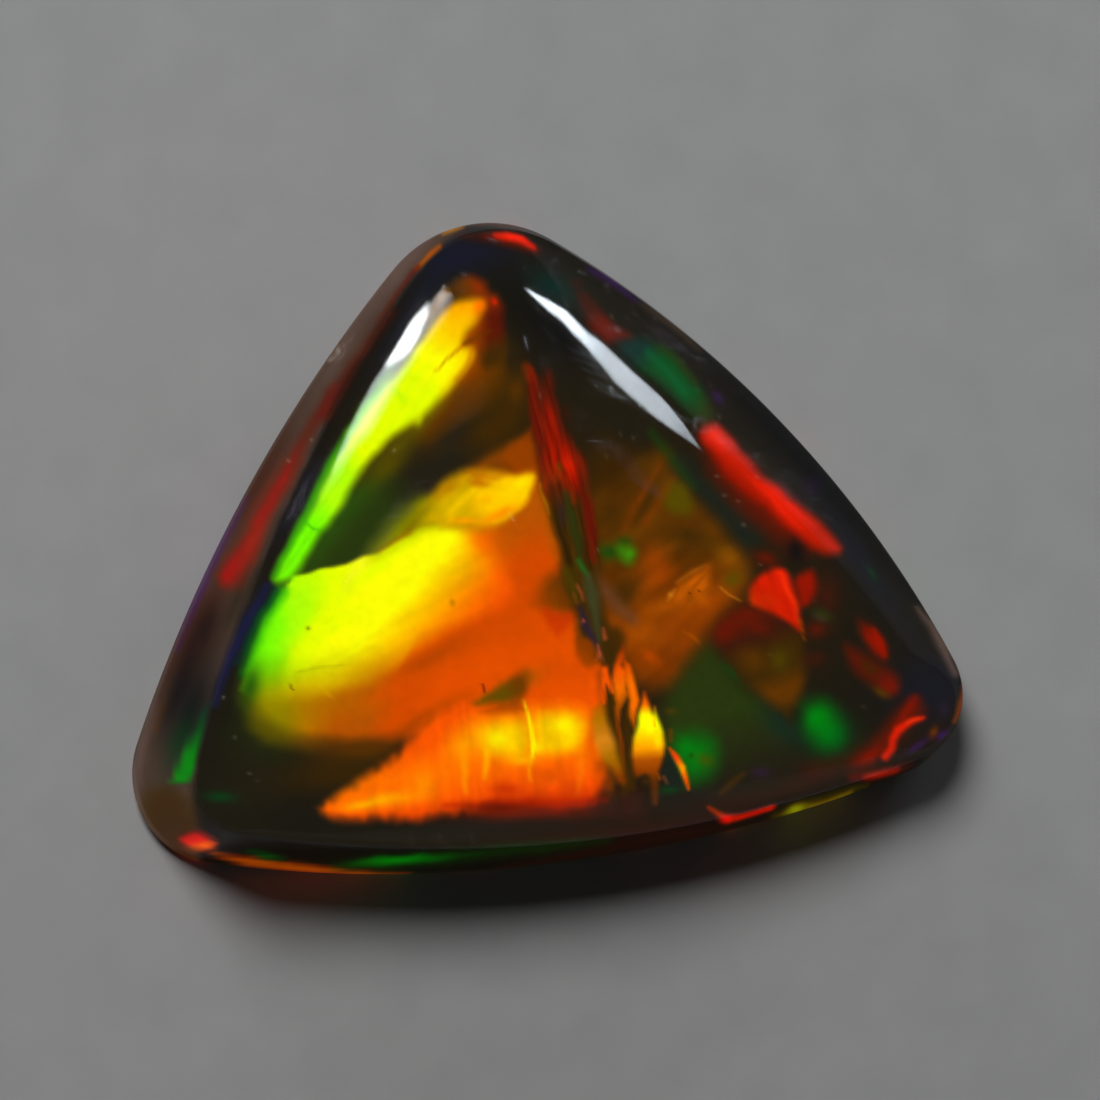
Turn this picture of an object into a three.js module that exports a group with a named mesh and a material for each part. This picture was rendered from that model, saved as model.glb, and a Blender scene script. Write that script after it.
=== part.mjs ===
// A polished opal cabochon with a rounded three-cornered outline, lying on its flat back.
// Millimetres. +Z points up through the dome, the long side runs along X and the top corner
// points towards +Y. The origin is on the flat back, at the middle of the stone's bounding box.
//
// From the bottom up: the flat back, a narrow bevel round it, a polished wall that leans
// inwards, the girdle where the wall ends, and a low dome. The wall is low at the top corner
// and high at the left one, because the girdle of a hand-cut stone isn't level.

import * as THREE from 'three';

// Corners of the girdle, anticlockwise: the centre and radius of each corner's arc in plan,
// and the height of the wall under the tip of the corner
const TOP = { x: -0.54, y: 3.42, radius: 2.02, wall: 0.7 };
const LEFT = { x: -6.27, y: -2.69, radius: 1, wall: 2.2 };
const RIGHT = { x: 5.31, y: -3.26, radius: 1.14, wall: 1.25 };
const CORNERS = [TOP, LEFT, RIGHT];
// Radius of the shallow arc from each corner to the next: top-left, bottom and right side
const SIDE_RADII = [24.5, 25.8, 17.1];

const WALL_LEAN = THREE.MathUtils.degToRad(14.6);
const BEVEL = 0.2;

// The dome: where its crown is in plan, how far it rises over the girdle, and how fast it
// steepens from the crown to the girdle
const CROWN = new THREE.Vector2(-0.9, -0.75);
const DOME_RISE = 2.3;
const DOME_POWER = 2.2;
// Towards the crown the dome's level lines turn from the outline into circles of this radius
const CROWN_RADIUS = 4.8;
const ROUNDING = 0.9;
const ROUNDING_POWER = 1.8;

const CORNER_STEPS = 14;
const SIDE_STEPS = 26;
const WALL_STEPS = 4;
const DOME_STEPS = 20;

const centreOf = (corner) => new THREE.Vector2(corner.x, corner.y);

// Centre of the side arc that touches both corner arcs from inside
function sideCentre(start, end, radius) {
  const chord = centreOf(end).sub(centreOf(start));
  const along = chord.clone().normalize();
  const inward = new THREE.Vector2(-along.y, along.x);
  const toStart = radius - start.radius;
  const toEnd = radius - end.radius;
  const foot = (toStart ** 2 - toEnd ** 2 + chord.lengthSq()) / (2 * chord.length());
  return centreOf(start)
    .addScaledVector(along, foot)
    .addScaledVector(inward, Math.sqrt(toStart ** 2 - foot ** 2));
}

// Points of an arc in plan with their outward normals, without its last point
function arcPoints(centre, radius, startAngle, endAngle, steps) {
  const turn = THREE.MathUtils.euclideanModulo(endAngle - startAngle, 2 * Math.PI);
  return Array.from({ length: steps }, (_, step) => {
    const angle = startAngle + (turn * step) / steps;
    const normal = new THREE.Vector2(Math.cos(angle), Math.sin(angle));
    return { point: centre.clone().addScaledVector(normal, radius), normal };
  });
}

// The girdle in plan, anticlockwise: each corner's arc, then the side that follows it
function girdleOutline() {
  const next = (index) => (index + 1) % CORNERS.length;
  const previous = (index) => (index + CORNERS.length - 1) % CORNERS.length;
  const sides = CORNERS.map((corner, index) =>
    sideCentre(corner, CORNERS[next(index)], SIDE_RADII[index]));
  return CORNERS.flatMap((corner, index) => {
    const centre = centreOf(corner);
    const angleIn = centre.clone().sub(sides[previous(index)]).angle();
    const angleOut = centre.clone().sub(sides[index]).angle();
    const angleEnd = centreOf(CORNERS[next(index)]).sub(sides[index]).angle();
    return [
      ...arcPoints(centre, corner.radius, angleIn, angleOut, CORNER_STEPS),
      ...arcPoints(sides[index], SIDE_RADII[index], angleOut, angleEnd, SIDE_STEPS),
    ];
  });
}

// Height of the girdle over any point of the plan: the plane through the three corner tips
function girdlePlane() {
  const middle = new THREE.Vector2();
  CORNERS.forEach((corner) => middle.addScaledVector(centreOf(corner), 1 / CORNERS.length));
  const tips = CORNERS.map((corner) => {
    const outward = centreOf(corner).sub(middle).normalize();
    const tip = centreOf(corner).addScaledVector(outward, corner.radius);
    return new THREE.Vector3(tip.x, tip.y, corner.wall);
  });
  const plane = new THREE.Plane().setFromCoplanarPoints(...tips);
  return (point) =>
    -(plane.constant + plane.normal.x * point.x + plane.normal.y * point.y) / plane.normal.z;
}

// The flat back's edge, the bevel's top and the wall up to the girdle, as rings of points
function wallRings(outline, girdleHeight) {
  const lean = Math.tan(WALL_LEAN);
  const at = ({ point, normal }, z, inset) => {
    const spread = (girdleHeight(point) - Math.max(z, BEVEL)) * lean - inset;
    const plan = point.clone().addScaledVector(normal, spread);
    return new THREE.Vector3(plan.x, plan.y, z);
  };
  const backEdge = outline.map((place) => at(place, 0, BEVEL));
  const walls = Array.from({ length: WALL_STEPS + 1 }, (_, step) =>
    outline.map((place) =>
      at(place, THREE.MathUtils.lerp(BEVEL, girdleHeight(place.point), step / WALL_STEPS), 0)));
  return [backEdge, ...walls];
}

// Rings of the dome above the girdle. A ring's reach is 1 at the girdle and 0 at the crown;
// the dome's height over the girdle plane is DOME_RISE times one less its reach to a power.
function domeRings(outline, girdleHeight) {
  return Array.from({ length: DOME_STEPS - 1 }, (_, step) => {
    const reach = Math.cos((Math.PI / 2) * ((step + 1) / DOME_STEPS));
    const keep = 1 - ROUNDING * (1 - reach) ** ROUNDING_POWER;
    return outline.map(({ point }) => {
      const ray = point.clone().sub(CROWN);
      const radius = reach * THREE.MathUtils.lerp(CROWN_RADIUS, ray.length(), keep);
      const plan = CROWN.clone().addScaledVector(ray.normalize(), radius);
      const rise = DOME_RISE * (1 - reach ** DOME_POWER);
      return new THREE.Vector3(plan.x, plan.y, girdleHeight(plan) + rise);
    });
  });
}

// Closed skin over the rings, with a fan from a point below the first and above the last
function skin(rings, bottom, top) {
  const count = rings[0].length;
  const points = [...rings.flat(), bottom, top];
  const bottomIndex = points.length - 2;
  const topIndex = points.length - 1;
  const lastRing = (rings.length - 1) * count;
  const faces = [];
  for (let place = 0; place < count; place += 1) {
    const next = (place + 1) % count;
    faces.push(bottomIndex, next, place);
    for (let low = 0; low < lastRing; low += count) {
      const high = low + count;
      faces.push(low + place, low + next, high + next);
      faces.push(low + place, high + next, high + place);
    }
    faces.push(lastRing + place, lastRing + next, topIndex);
  }
  const geometry = new THREE.BufferGeometry().setFromPoints(points);
  geometry.setIndex(faces);
  return geometry;
}

function stoneGeometry() {
  const outline = girdleOutline();
  const girdleHeight = girdlePlane();
  const rings = [...wallRings(outline, girdleHeight), ...domeRings(outline, girdleHeight)];
  const bottom = new THREE.Vector3(CROWN.x, CROWN.y, 0);
  const top = new THREE.Vector3(CROWN.x, CROWN.y, girdleHeight(CROWN) + DOME_RISE);
  const geometry = skin(rings, bottom, top);
  geometry.computeBoundingBox();
  const middle = geometry.boundingBox.getCenter(new THREE.Vector3());
  geometry.translate(-middle.x, -middle.y, 0);
  geometry.computeVertexNormals();
  return geometry;
}

const smokyOpal = new THREE.MeshStandardMaterial({ color: 0x2b2012, roughness: 0.1, metalness: 0 });
const stone = new THREE.Mesh(stoneGeometry(), smokyOpal);
stone.name = 'opal_stone';

const opal = new THREE.Group();
opal.name = 'opal';
opal.add(stone);

export default opal;
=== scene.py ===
"""A polished Ethiopian opal cabochon on a pale floor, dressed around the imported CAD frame."""

import logging
from collections.abc import Iterable
from dataclasses import dataclass, field
from enum import Enum
from typing import Any

import bpy
import numpy as np
from mathutils import Matrix, Vector


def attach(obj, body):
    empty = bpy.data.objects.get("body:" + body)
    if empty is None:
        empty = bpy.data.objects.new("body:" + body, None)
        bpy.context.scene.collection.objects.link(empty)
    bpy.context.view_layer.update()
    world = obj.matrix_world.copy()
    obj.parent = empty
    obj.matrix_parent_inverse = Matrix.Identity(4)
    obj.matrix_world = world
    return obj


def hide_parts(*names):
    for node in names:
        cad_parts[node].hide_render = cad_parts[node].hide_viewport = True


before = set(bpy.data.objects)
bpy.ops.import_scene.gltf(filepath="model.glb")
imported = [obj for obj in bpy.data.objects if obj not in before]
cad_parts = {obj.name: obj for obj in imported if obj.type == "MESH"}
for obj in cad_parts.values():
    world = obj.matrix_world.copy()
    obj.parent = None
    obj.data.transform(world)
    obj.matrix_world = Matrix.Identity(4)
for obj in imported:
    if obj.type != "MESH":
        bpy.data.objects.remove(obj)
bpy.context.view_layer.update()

Point = tuple[float, float]
Array = np.ndarray
NodeTree = bpy.types.NodeTree
Socket = bpy.types.NodeSocket

LOG = logging.getLogger("opal")
MM = 0.001
# Free edge round the flat layout, and where the back lies in it and how small
MARGIN = 0.01
BACK_CORNER = (0.66, 0.76)
BACK_SCALE = 0.34
# Keeps the visual inside the CAD box
SNUG = 0.9994
TINY = 1e-9


class Hue(Enum):
    """The colours that the stone shows, as display values out of 255."""

    BODY = (27, 24, 17)
    INK = (15, 16, 17)
    SOOT = (33, 29, 18)
    NIGHT = (24, 26, 40)
    NAVY = (26, 30, 82)
    VIOLET = (66, 28, 112)
    PLUM = (44, 32, 48)
    MOSS = (40, 54, 14)
    FOREST = (24, 70, 10)
    OLIVE = (84, 72, 2)
    KHAKI = (142, 128, 0)
    UMBER = (60, 38, 6)
    BROWN = (98, 52, 2)
    RUST = (142, 58, 0)
    MUSTARD_BROWN = (176, 112, 0)
    MUSTARD = (214, 172, 0)
    PEAR = (148, 156, 0)
    COPPER = (178, 82, 2)
    TAN = (214, 132, 26)
    BURNT = (208, 72, 0)
    EMBER = (226, 78, 0)
    CLAY = (196, 84, 46)
    FLAME = (246, 84, 2)
    ORANGE = (255, 112, 0)
    AMBER = (255, 158, 0)
    GOLD = (255, 204, 0)
    YELLOW = (255, 255, 4)
    LEMON = (226, 255, 0)
    LIME = (176, 255, 6)
    SPRING = (118, 250, 4)
    LEAF = (52, 172, 12)
    EMERALD = (2, 128, 16)
    PINE = (6, 74, 24)
    FERN = (2, 92, 46)
    FERN_BROWN = (34, 92, 26)
    GREY_OLIVE = (62, 66, 36)
    INK_GREEN = (28, 34, 26)
    TEAL = (14, 46, 40)
    VERMILION = (244, 66, 8)
    BURNT_RED = (196, 48, 2)
    SCARLET = (236, 32, 6)
    RED = (198, 28, 2)
    CRIMSON = (150, 20, 2)
    RED_BROWN = (150, 46, 4)
    WINE = (98, 22, 6)
    MAROON = (60, 24, 12)
    # Mauve and taupe mostly stand for painted reflection and light on the rims and walls
    MAUVE = (98, 78, 72)
    TAUPE = (72, 56, 46)
    TAUPE_RED = (104, 62, 36)
    # The grey-blue of the painted highlight streaks
    MIST = (112, 122, 138)
    CREAM = (226, 222, 206)


# Cells after which the noise repeats
NOISE_CELLS = 64


@dataclass(frozen=True)
class Ramp:
    """A change of colour along a line from start to end, through hues named in order."""

    start: Point
    end: Point
    hues: str

    def colour(self, place: Array) -> Array:
        """Display colour at each place: how far it lies along the line picks the hue.

        Args:
            place: Points in photograph pixels, one row each.

        Returns:
            One row of red, green and blue for each point.
        """
        stops = np.array([Hue[word.upper()].value for word in self.hues.split()]) / 255
        axis = np.subtract(self.end, self.start)
        along = (place - self.start) @ axis / max(axis @ axis, TINY) * (len(stops) - 1)
        return np.stack([np.interp(along, np.arange(len(stops)), column) for column in stops.T], axis=1)


def plain(hue: str) -> Ramp:
    """A ramp that has the same hue everywhere."""
    return Ramp((0, 0), (1, 0), hue)


def smooth_step(values: Array) -> Array:
    """Eases from 0 to 1 as three times the square less twice the cube of the clipped value."""
    clipped = np.clip(values, 0, 1)
    return clipped * clipped * (3 - 2 * clipped)


def lattice_noise(across: Array, along: Array, seed: int) -> Array:
    """Smooth noise between -1 and 1: random values on a unit lattice, eased between neighbours.

    Args:
        across: First coordinate, in lattice cells.
        along: Second coordinate, in lattice cells.
        seed: Picks the random values.

    Returns:
        The noise at each point.
    """
    size = NOISE_CELLS
    values = np.random.default_rng(seed).uniform(-1, 1, (size, size))
    column, row = np.floor(across).astype(int), np.floor(along).astype(int)
    right, up = smooth_step(across - column), smooth_step(along - row)
    low = values[row % size, column % size] * (1 - right) + values[row % size, (column + 1) % size] * right
    row = row + 1
    high = values[row % size, column % size] * (1 - right) + values[row % size, (column + 1) % size] * right
    return low * (1 - up) + high * up


@dataclass(frozen=True)
class Grain:
    """Fine columns inside a flash: their direction in degrees, spacing and length in pixels.

    Attributes:
        amount: How much they change the brightness.
        fineness: How much closer a second, weaker set of columns stands.
    """

    turn: float
    spacing: float
    length: float
    amount: float
    fineness: float = 2.3

    def shade(self, place: Array) -> Array:
        """Brightness at each place: one plus the amount times two noises stretched along the columns.

        Args:
            place: Points in photograph pixels.

        Returns:
            The brightness of each point, 1 where the columns change nothing.
        """
        angle = np.radians(self.turn)
        along = place @ (np.cos(angle), np.sin(angle)) / self.length
        across = place @ (-np.sin(angle), np.cos(angle)) / self.spacing
        fine = lattice_noise(across * self.fineness, along, 6)
        return 1 + self.amount * (lattice_noise(across, along, 5) + fine / 2)


@dataclass(frozen=True)
class Mark:
    """One colour mark in the stone, drawn where the photograph shows it.

    Attributes:
        tint: Its colour, or the ramp of colours along it.
        strength: How much it hides what is under it, from 0 to 1.
        grain: Fine columns inside it, or none.
        fray: Columns along which it breaks up, or none.
    """

    tint: Ramp | str
    strength: float
    grain: Grain | None = field(default=None, kw_only=True)
    fray: Grain | None = field(default=None, kw_only=True)

    def reach(self) -> tuple[Array, Array]:
        """Lowest and highest corner of the box that holds the mark."""
        raise NotImplementedError

    def cover(self, place: Array) -> Array:
        """How much of the mark is at each place, from 0 to 1."""
        raise NotImplementedError

    def lay(self, place: Array, colour: Array) -> None:
        """Lays the mark over the colours: each moves towards the tint by the mark's cover.

        Args:
            place: Points in photograph pixels.
            colour: Their display colours, changed in place.
        """
        low, high = self.reach()
        near = np.flatnonzero(((place > low) & (place < high)).all(axis=1))
        spot = place[near]
        ramp = plain(self.tint) if isinstance(self.tint, str) else self.tint
        tint = ramp.colour(spot)
        if self.grain:
            tint = np.clip(tint * self.grain.shade(spot)[:, None], 0, 1)
        cover = self.cover(spot) * self.strength
        if self.fray:
            cover = cover * self.fray.shade(spot)
        cover = np.clip(cover, 0, 1)[:, None]
        colour[near] += (tint - colour[near]) * cover


def nearest_on(points: Array, place: Array, closed: bool) -> tuple[Array, Array]:
    """Distance from each place to a line of points, and how far along it the nearest spot is.

    The nearest spot of a segment is the place's projection on it, clipped to its ends.

    Args:
        points: The line's points.
        place: The places.
        closed: Whether the last point joins the first.

    Returns:
        The distance in pixels, and the position along the line in points.
    """
    start = points if closed else points[:-1]
    side = (np.roll(points, -1, axis=0) if closed else points[1:]) - start
    offset = place[:, None] - start[None]
    share = np.clip((offset * side).sum(2) / np.maximum((side * side).sum(1), TINY), 0, 1)
    gap = np.hypot(*np.moveaxis(offset - share[..., None] * side, 2, 0))
    best = gap.argmin(axis=1)
    rows = np.arange(len(place))
    return gap[rows, best], best + share[rows, best]


# Width and height of the tears in a ragged edge, in pixels
TEAR_SIZE = (7, 12)


@dataclass(frozen=True)
class Patch(Mark):
    """A flash with a closed outline.

    Attributes:
        outline: Its corners in photograph pixels.
        bends: How often each corner is cut at a quarter of its sides, which rounds it.
        soft: Width of its soft edge, in pixels.
        fade: Where it has faded out and where it is full again, or none.
        ragged: How far its edge is torn in and out, in pixels.
    """

    outline: tuple[Point, ...]
    bends: int = 2
    soft: float = 4
    fade: tuple[Point, Point] | None = None
    ragged: float = 0

    def curve(self) -> Array:
        """The outline with its corners cut: each side keeps its middle half, as often as bends says.

        Returns:
            The points of the rounded outline.
        """
        points = np.array(self.outline, float)
        for _ in range(self.bends):
            ahead = np.roll(points, -1, axis=0)
            quarter = (ahead - points) / 4
            points = np.stack([points + quarter, ahead - quarter], axis=1).reshape(-1, 2)
        return points

    def reach(self) -> tuple[Array, Array]:
        """The outline's box, widened by the soft edge."""
        points = np.array(self.outline, float)
        return points.min(0) - self.soft, points.max(0) + self.soft

    def cover(self, place: Array) -> Array:
        """Full inside, none outside, and eased by the distance to the outline.

        The easing takes one and a half times the soft edge, and the noise of a ragged edge is added
        to the distance. A place is inside where a line to its right crosses the outline an odd
        number of times.

        Args:
            place: Points in photograph pixels.

        Returns:
            The cover at each point, from 0 to 1.
        """
        points = self.curve()
        gap, _ = nearest_on(points, place, closed=True)
        start, end = points, np.roll(points, -1, axis=0)
        spans = (start[:, 1] > place[:, 1:]) != (end[:, 1] > place[:, 1:])
        rise = np.where(end[:, 1] == start[:, 1], TINY, end[:, 1] - start[:, 1])
        crossing = start[:, 0] + (place[:, 1:] - start[:, 1]) / rise * (end[:, 0] - start[:, 0])
        inside = (spans & (place[:, :1] < crossing)).sum(1) % 2 == 1
        tear = self.ragged * lattice_noise(*(place / TEAR_SIZE).T, 8) if self.ragged else 0
        cover = smooth_step(0.5 + (np.where(inside, gap, -gap) + tear) / (1.5 * self.soft))
        if self.fade:
            axis = np.subtract(self.fade[1], self.fade[0])
            cover = cover * smooth_step((place - self.fade[0]) @ axis / (axis @ axis))
        return cover


@dataclass(frozen=True)
class Stroke(Mark):
    """A flash or crack drawn as a line whose width changes from point to point.

    Attributes:
        line: Its points in photograph pixels.
        widths: Its width at each point, in pixels.
        soft: Width of its soft edge, in pixels.
    """

    line: tuple[Point, ...]
    widths: tuple[float, ...]
    soft: float = 4

    def reach(self) -> tuple[Array, Array]:
        """The line's box, widened by half its width and the soft edge.

        Returns:
            The lowest and the highest corner.
        """
        points = np.array(self.line, float)
        margin = max(self.widths) / 2 + self.soft
        return points.min(0) - margin, points.max(0) + margin

    def cover(self, place: Array) -> Array:
        """Full on the line, eased out where the distance to it passes half the width there.

        The easing takes 1.3 times the soft edge, and the line is fainter where it is thinner than
        a pixel.

        Args:
            place: Points in photograph pixels.

        Returns:
            The cover at each point, from 0 to 1.
        """
        gap, along = nearest_on(np.array(self.line, float), place, closed=False)
        half = np.interp(along, np.arange(len(self.widths)), self.widths) / 2
        return smooth_step(0.5 + (half - gap) / (1.3 * self.soft)) * np.clip(half * 2, 0, 1)


@dataclass(frozen=True)
class Glow(Mark):
    """A soft oval light that fades out from its middle as a bell curve.

    Attributes:
        middle: Its middle in photograph pixels.
        radii: Its half length and half width, where it has faded to a seventh.
        turn: Direction of its length in degrees, clockwise from the picture's right.
    """

    middle: Point
    radii: Point
    turn: float = 0

    def reach(self) -> tuple[Array, Array]:
        """A box twice as far out as the longer radius."""
        margin = 2 * max(self.radii)
        return np.subtract(self.middle, margin), np.add(self.middle, margin)

    def cover(self, place: Array) -> Array:
        """The bell curve of the distance from the middle: e to minus twice its square, in radii.

        Args:
            place: Points in photograph pixels.

        Returns:
            The cover at each point, from 0 to 1.
        """
        angle = np.radians(self.turn)
        offset = place - self.middle
        along = offset @ (np.cos(angle), np.sin(angle)) / self.radii[0]
        across = offset @ (-np.sin(angle), np.cos(angle)) / self.radii[1]
        return np.exp(-2 * (along**2 + across**2))


# The smoky body and the slow changes of tone that lie behind the flashes
DARK_BODY = (
    Glow("umber", 0.9, (570, 560), (280, 170), 20),
    # Painted shade: dark bands where the steep shoulders show the dark surroundings, at the top corner and on
    # the left
    Glow("night", 0.95, (462, 256), (84, 30), -10),
    Glow("night", 0.7, (420, 300), (120, 16), -56),
    Glow("teal", 0.9, (552, 288), (36, 20), 30),
    Glow("ink", 0.8, (560, 330), (90, 30), 44),
    Glow("soot", 0.9, (604, 398), (60, 30), 32),
    # Painted shade: the same dark bands along the right shoulder
    Glow("ink", 0.95, (800, 440), (210, 40), 50),
    Glow("night", 0.6, (860, 560), (120, 22), 56),
    # Painted shade: the same dark bands along the left shoulder
    Glow("ink", 0.95, (310, 430), (260, 22), -61),
    Glow("night", 0.7, (300, 500), (70, 12), -62),
    Glow("moss", 0.5, (262, 742), (50, 44), 0),
    Glow("soot", 0.8, (240, 790), (60, 60), 0),
    Glow("maroon", 0.7, (640, 838), (260, 20), -4),
    Glow("soot", 0.7, (420, 840), (200, 16), 0),
    Glow("maroon", 0.8, (810, 772), (150, 22), -20),
    Glow("night", 0.7, (930, 690), (60, 50), 0),
)
# The left girdle and the foot of the left wall, from the top down
GIRDLE_LINE = ((465, 231), (437, 248), (415, 272), (389, 307), (363, 350), (341, 380), (322, 428),
    (300, 476), (276, 523), (262, 560), (246, 600), (226, 656), (209, 701), (196, 760), (192, 806),
    (200, 860))
WALL_FOOT_LINE = ((462, 220), (405, 244), (360, 296), (305, 380), (240, 490), (205, 560), (170, 640),
    (140, 718), (122, 790), (140, 860), (190, 890))
# The polished wall on the left, seen from outside, with its red, violet and green
LEFT_WALL = (
    # Painted reflection and glow: the taupe ground stands for the lit floor reflected in the wall and light
    # through it
    Patch("taupe", 1, (*WALL_FOOT_LINE, *GIRDLE_LINE[::-1]), 0, 8),
    # Painted reflection: mauve where the upper wall reflects the lit floor
    Glow("mauve", 0.8, (402, 266), (80, 14), -50),
    Glow("mauve", 0.5, (345, 345), (80, 9), -59),
    Stroke("wine", 0.7, ((392, 312), (352, 366), (326, 412)), (2, 7, 12), 14),
    Stroke("copper", 0.9, ((440, 246), (430, 254), (416, 268)), (4, 6, 3), 5),
    Stroke("wine", 0.9, ((418, 266), (396, 294), (376, 322)), (3, 3, 1), 5),
    Glow("maroon", 0.6, (262, 478), (90, 12), -62),
    Glow("maroon", 0.85, (195, 640), (95, 24), -68),
    Glow("soot", 0.6, (236, 602), (60, 10), -66),
    Glow("ink", 0.9, (190, 714), (80, 20), -72),
    Stroke("violet", 0.6, ((246, 498), (216, 552), (192, 606), (176, 650)), (2, 8, 8, 2), 9),
    Patch(Ramp((338, 378), (232, 584), "wine wine crimson crimson crimson"), 0.9, ((338, 376), (322, 415),
        (304, 448), (291, 480), (275, 505), (262, 535), (244, 582), (232, 588), (219, 581), (229, 557),
        (270, 486), (290, 456), (310, 424)), 1, 13, fray=Grain(-62, 9, 40, 0.5)),
    Glow("red", 0.4, (252, 541), (44, 8), -62),
    # Painted light along the girdle's edge
    Stroke("mauve", 0.45, ((322, 424), (300, 472), (277, 520), (262, 560)), (1.2, 1.2, 1.2, 1.2), 3),
    Stroke("navy", 0.75, ((266, 586), (252, 612), (230, 656), (214, 704)), (5, 9, 8, 4), 10),
    Stroke("teal", 0.8, ((276, 590), (256, 620), (236, 664)), (10, 6, 4), 6),
    Patch(Ramp((207, 704), (184, 782), "teal pine emerald emerald"), 1, ((209, 702), (200, 742), (190, 782),
        (171, 784), (184, 752)), 0, 5),
    Glow("pine", 0.4, (180, 740), (40, 16), -70),
    Patch("umber", 0.9, ((140, 790), (180, 788), (200, 830), (190, 872), (146, 860)), 2, 16),
    Stroke("mauve", 0.7, ((158, 706), (142, 748), (134, 790), (140, 832)), (3, 8, 8, 3), 9),
    Stroke("brown", 0.5, ((166, 700), (154, 730)), (4, 4), 8),
    Glow("pine", 0.6, (220, 797), (22, 8), 4),
    Glow("ink", 0.8, (178, 690), (70, 16), -70),
    Glow("ink", 0.5, (206, 628), (40, 14), -66),
)
# Faint columns in the largest flash
FOLDS = Grain(turn=-28, spacing=11, length=70, amount=0.05)
# The largest flash, green at its left end, yellow in its middle and orange on its right
GREAT_FLASH = (
    Patch(Ramp((500, 470), (560, 700), "copper copper burnt burnt ember burnt"), 1, ((420, 500), (500, 446),
        (533, 436), (541, 473), (548, 510), (557, 540), (562, 566), (572, 600), (600, 640), (606, 672),
        (560, 712), (410, 738), (330, 740), (280, 716), (300, 640)), 1, 12),
    Patch(Ramp((258, 690), (396, 712), "khaki khaki mustard_brown copper copper burnt"), 1, ((246, 690),
        (256, 660), (300, 630), (440, 630), (424, 700), (392, 736), (340, 744), (286, 740), (256, 726)), 2,
        26),
    Glow("olive", 0.6, (268, 730), (26, 14), 20),
    Glow("mustard", 0.75, (326, 682), (66, 18), -10),
    Patch(Ramp((262, 640), (420, 590), "spring lime lemon yellow yellow"), 1, ((240, 690), (252, 654),
        (266, 620), (281, 596), (293, 575), (319, 568.5), (345, 563.5), (363, 555), (376, 552.5),
        (408, 535), (421, 526.5), (432, 524.5), (440, 525), (430, 612), (400, 670), (330, 700), (256, 706)),
        0, 5, fade=((318, 700), (304, 636))),
    Patch(Ramp((338, 547), (460, 651), "lime lemon lemon yellow yellow gold amber orange flame"), 1,
        ((380, 556), (421, 527), (432, 525), (462, 527), (474, 534), (480, 545), (494, 557), (503, 566),
        (505, 576), (514, 588), (513, 598), (504, 606), (473, 620), (442, 636), (412, 654), (384, 690),
        (340, 716), (276, 706), (296, 632)), 1, 13, fade=((334, 698), (324, 636)), grain=FOLDS),
    Glow("yellow", 0.9, (376, 592), (56, 26), -20),
    Glow("lemon", 0.5, (330, 626), (60, 14), -22),
    Glow("lime", 0.9, (296, 612), (18, 40), 26),
    Glow("spring", 0.7, (276, 632), (12, 34), 28),
    Stroke("spring", 0.7, ((286, 596), (273, 618), (261, 642), (250, 668)), (5, 10, 8, 3), 8),
    Stroke("leaf", 0.9, ((284, 591), (267, 616), (254, 646), (245, 672)), (10, 9, 8, 5), 10),
    Stroke("pine", 0.8, ((278, 592), (260, 616), (248, 646), (240, 676)), (2, 3, 4, 3), 8),
    Glow("forest", 0.75, (250, 686), (14, 34), 12),
    Glow("orange", 0.8, (484, 544), (34, 20), 50),
    Glow("mustard", 0.35, (304, 690), (44, 12), -6),
    Glow("mustard_brown", 0.35, (340, 704), (50, 18), -8),
    Glow("ember", 0.5, (388, 690), (44, 12), -30),
    Stroke("flame", 0.6, ((497, 566), (503, 584), (500, 602)), (3, 12, 4), 14),
    Glow("rust", 0.4, (436, 656), (66, 14), -28),
    Glow("burnt", 0.6, (496, 636), (44, 16), -26),
    Glow("rust", 0.6, (420, 722), (60, 10), -30),
    Glow("brown", 0.4, (330, 742), (60, 12), 0),
    Glow("brown", 0.8, (362, 752), (60, 14), -6),
    Glow("umber", 0.8, (340, 772), (84, 26), -8),
    Patch("copper", 0.6, ((540, 500), (546, 512), (556, 540), (562, 566), (553, 560), (544, 530)), 1, 5),
    Stroke("amber", 0.8, ((541, 484), (545, 500), (549, 514)), (2, 4, 1), 4),
    Patch(Ramp((536, 600), (570, 585), "rust brown umber"), 0.8, ((532, 602), (541, 583), (552, 574),
        (563, 566), (575, 578), (580, 616), (560, 614), (540, 610)), 1, 14),
    Patch("burnt_red", 0.7, ((543, 610), (558, 612), (575, 612), (570, 626), (558, 636), (548, 624)), 0, 7),
    Patch("rust", 0.9, ((588, 634), (576, 636), (576, 650), (580, 664), (588, 669), (597, 660)), 1, 6),
    Glow("mustard_brown", 0.8, (452, 603), (4, 5)),
    Stroke("mustard", 0.5, ((322, 690), (327, 693), (333, 697)), (1, 2, 1), 2.5),
    Stroke("pear", 0.5, ((296, 673), (318, 668), (344, 665)), (1, 2, 1), 3),
)
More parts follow.
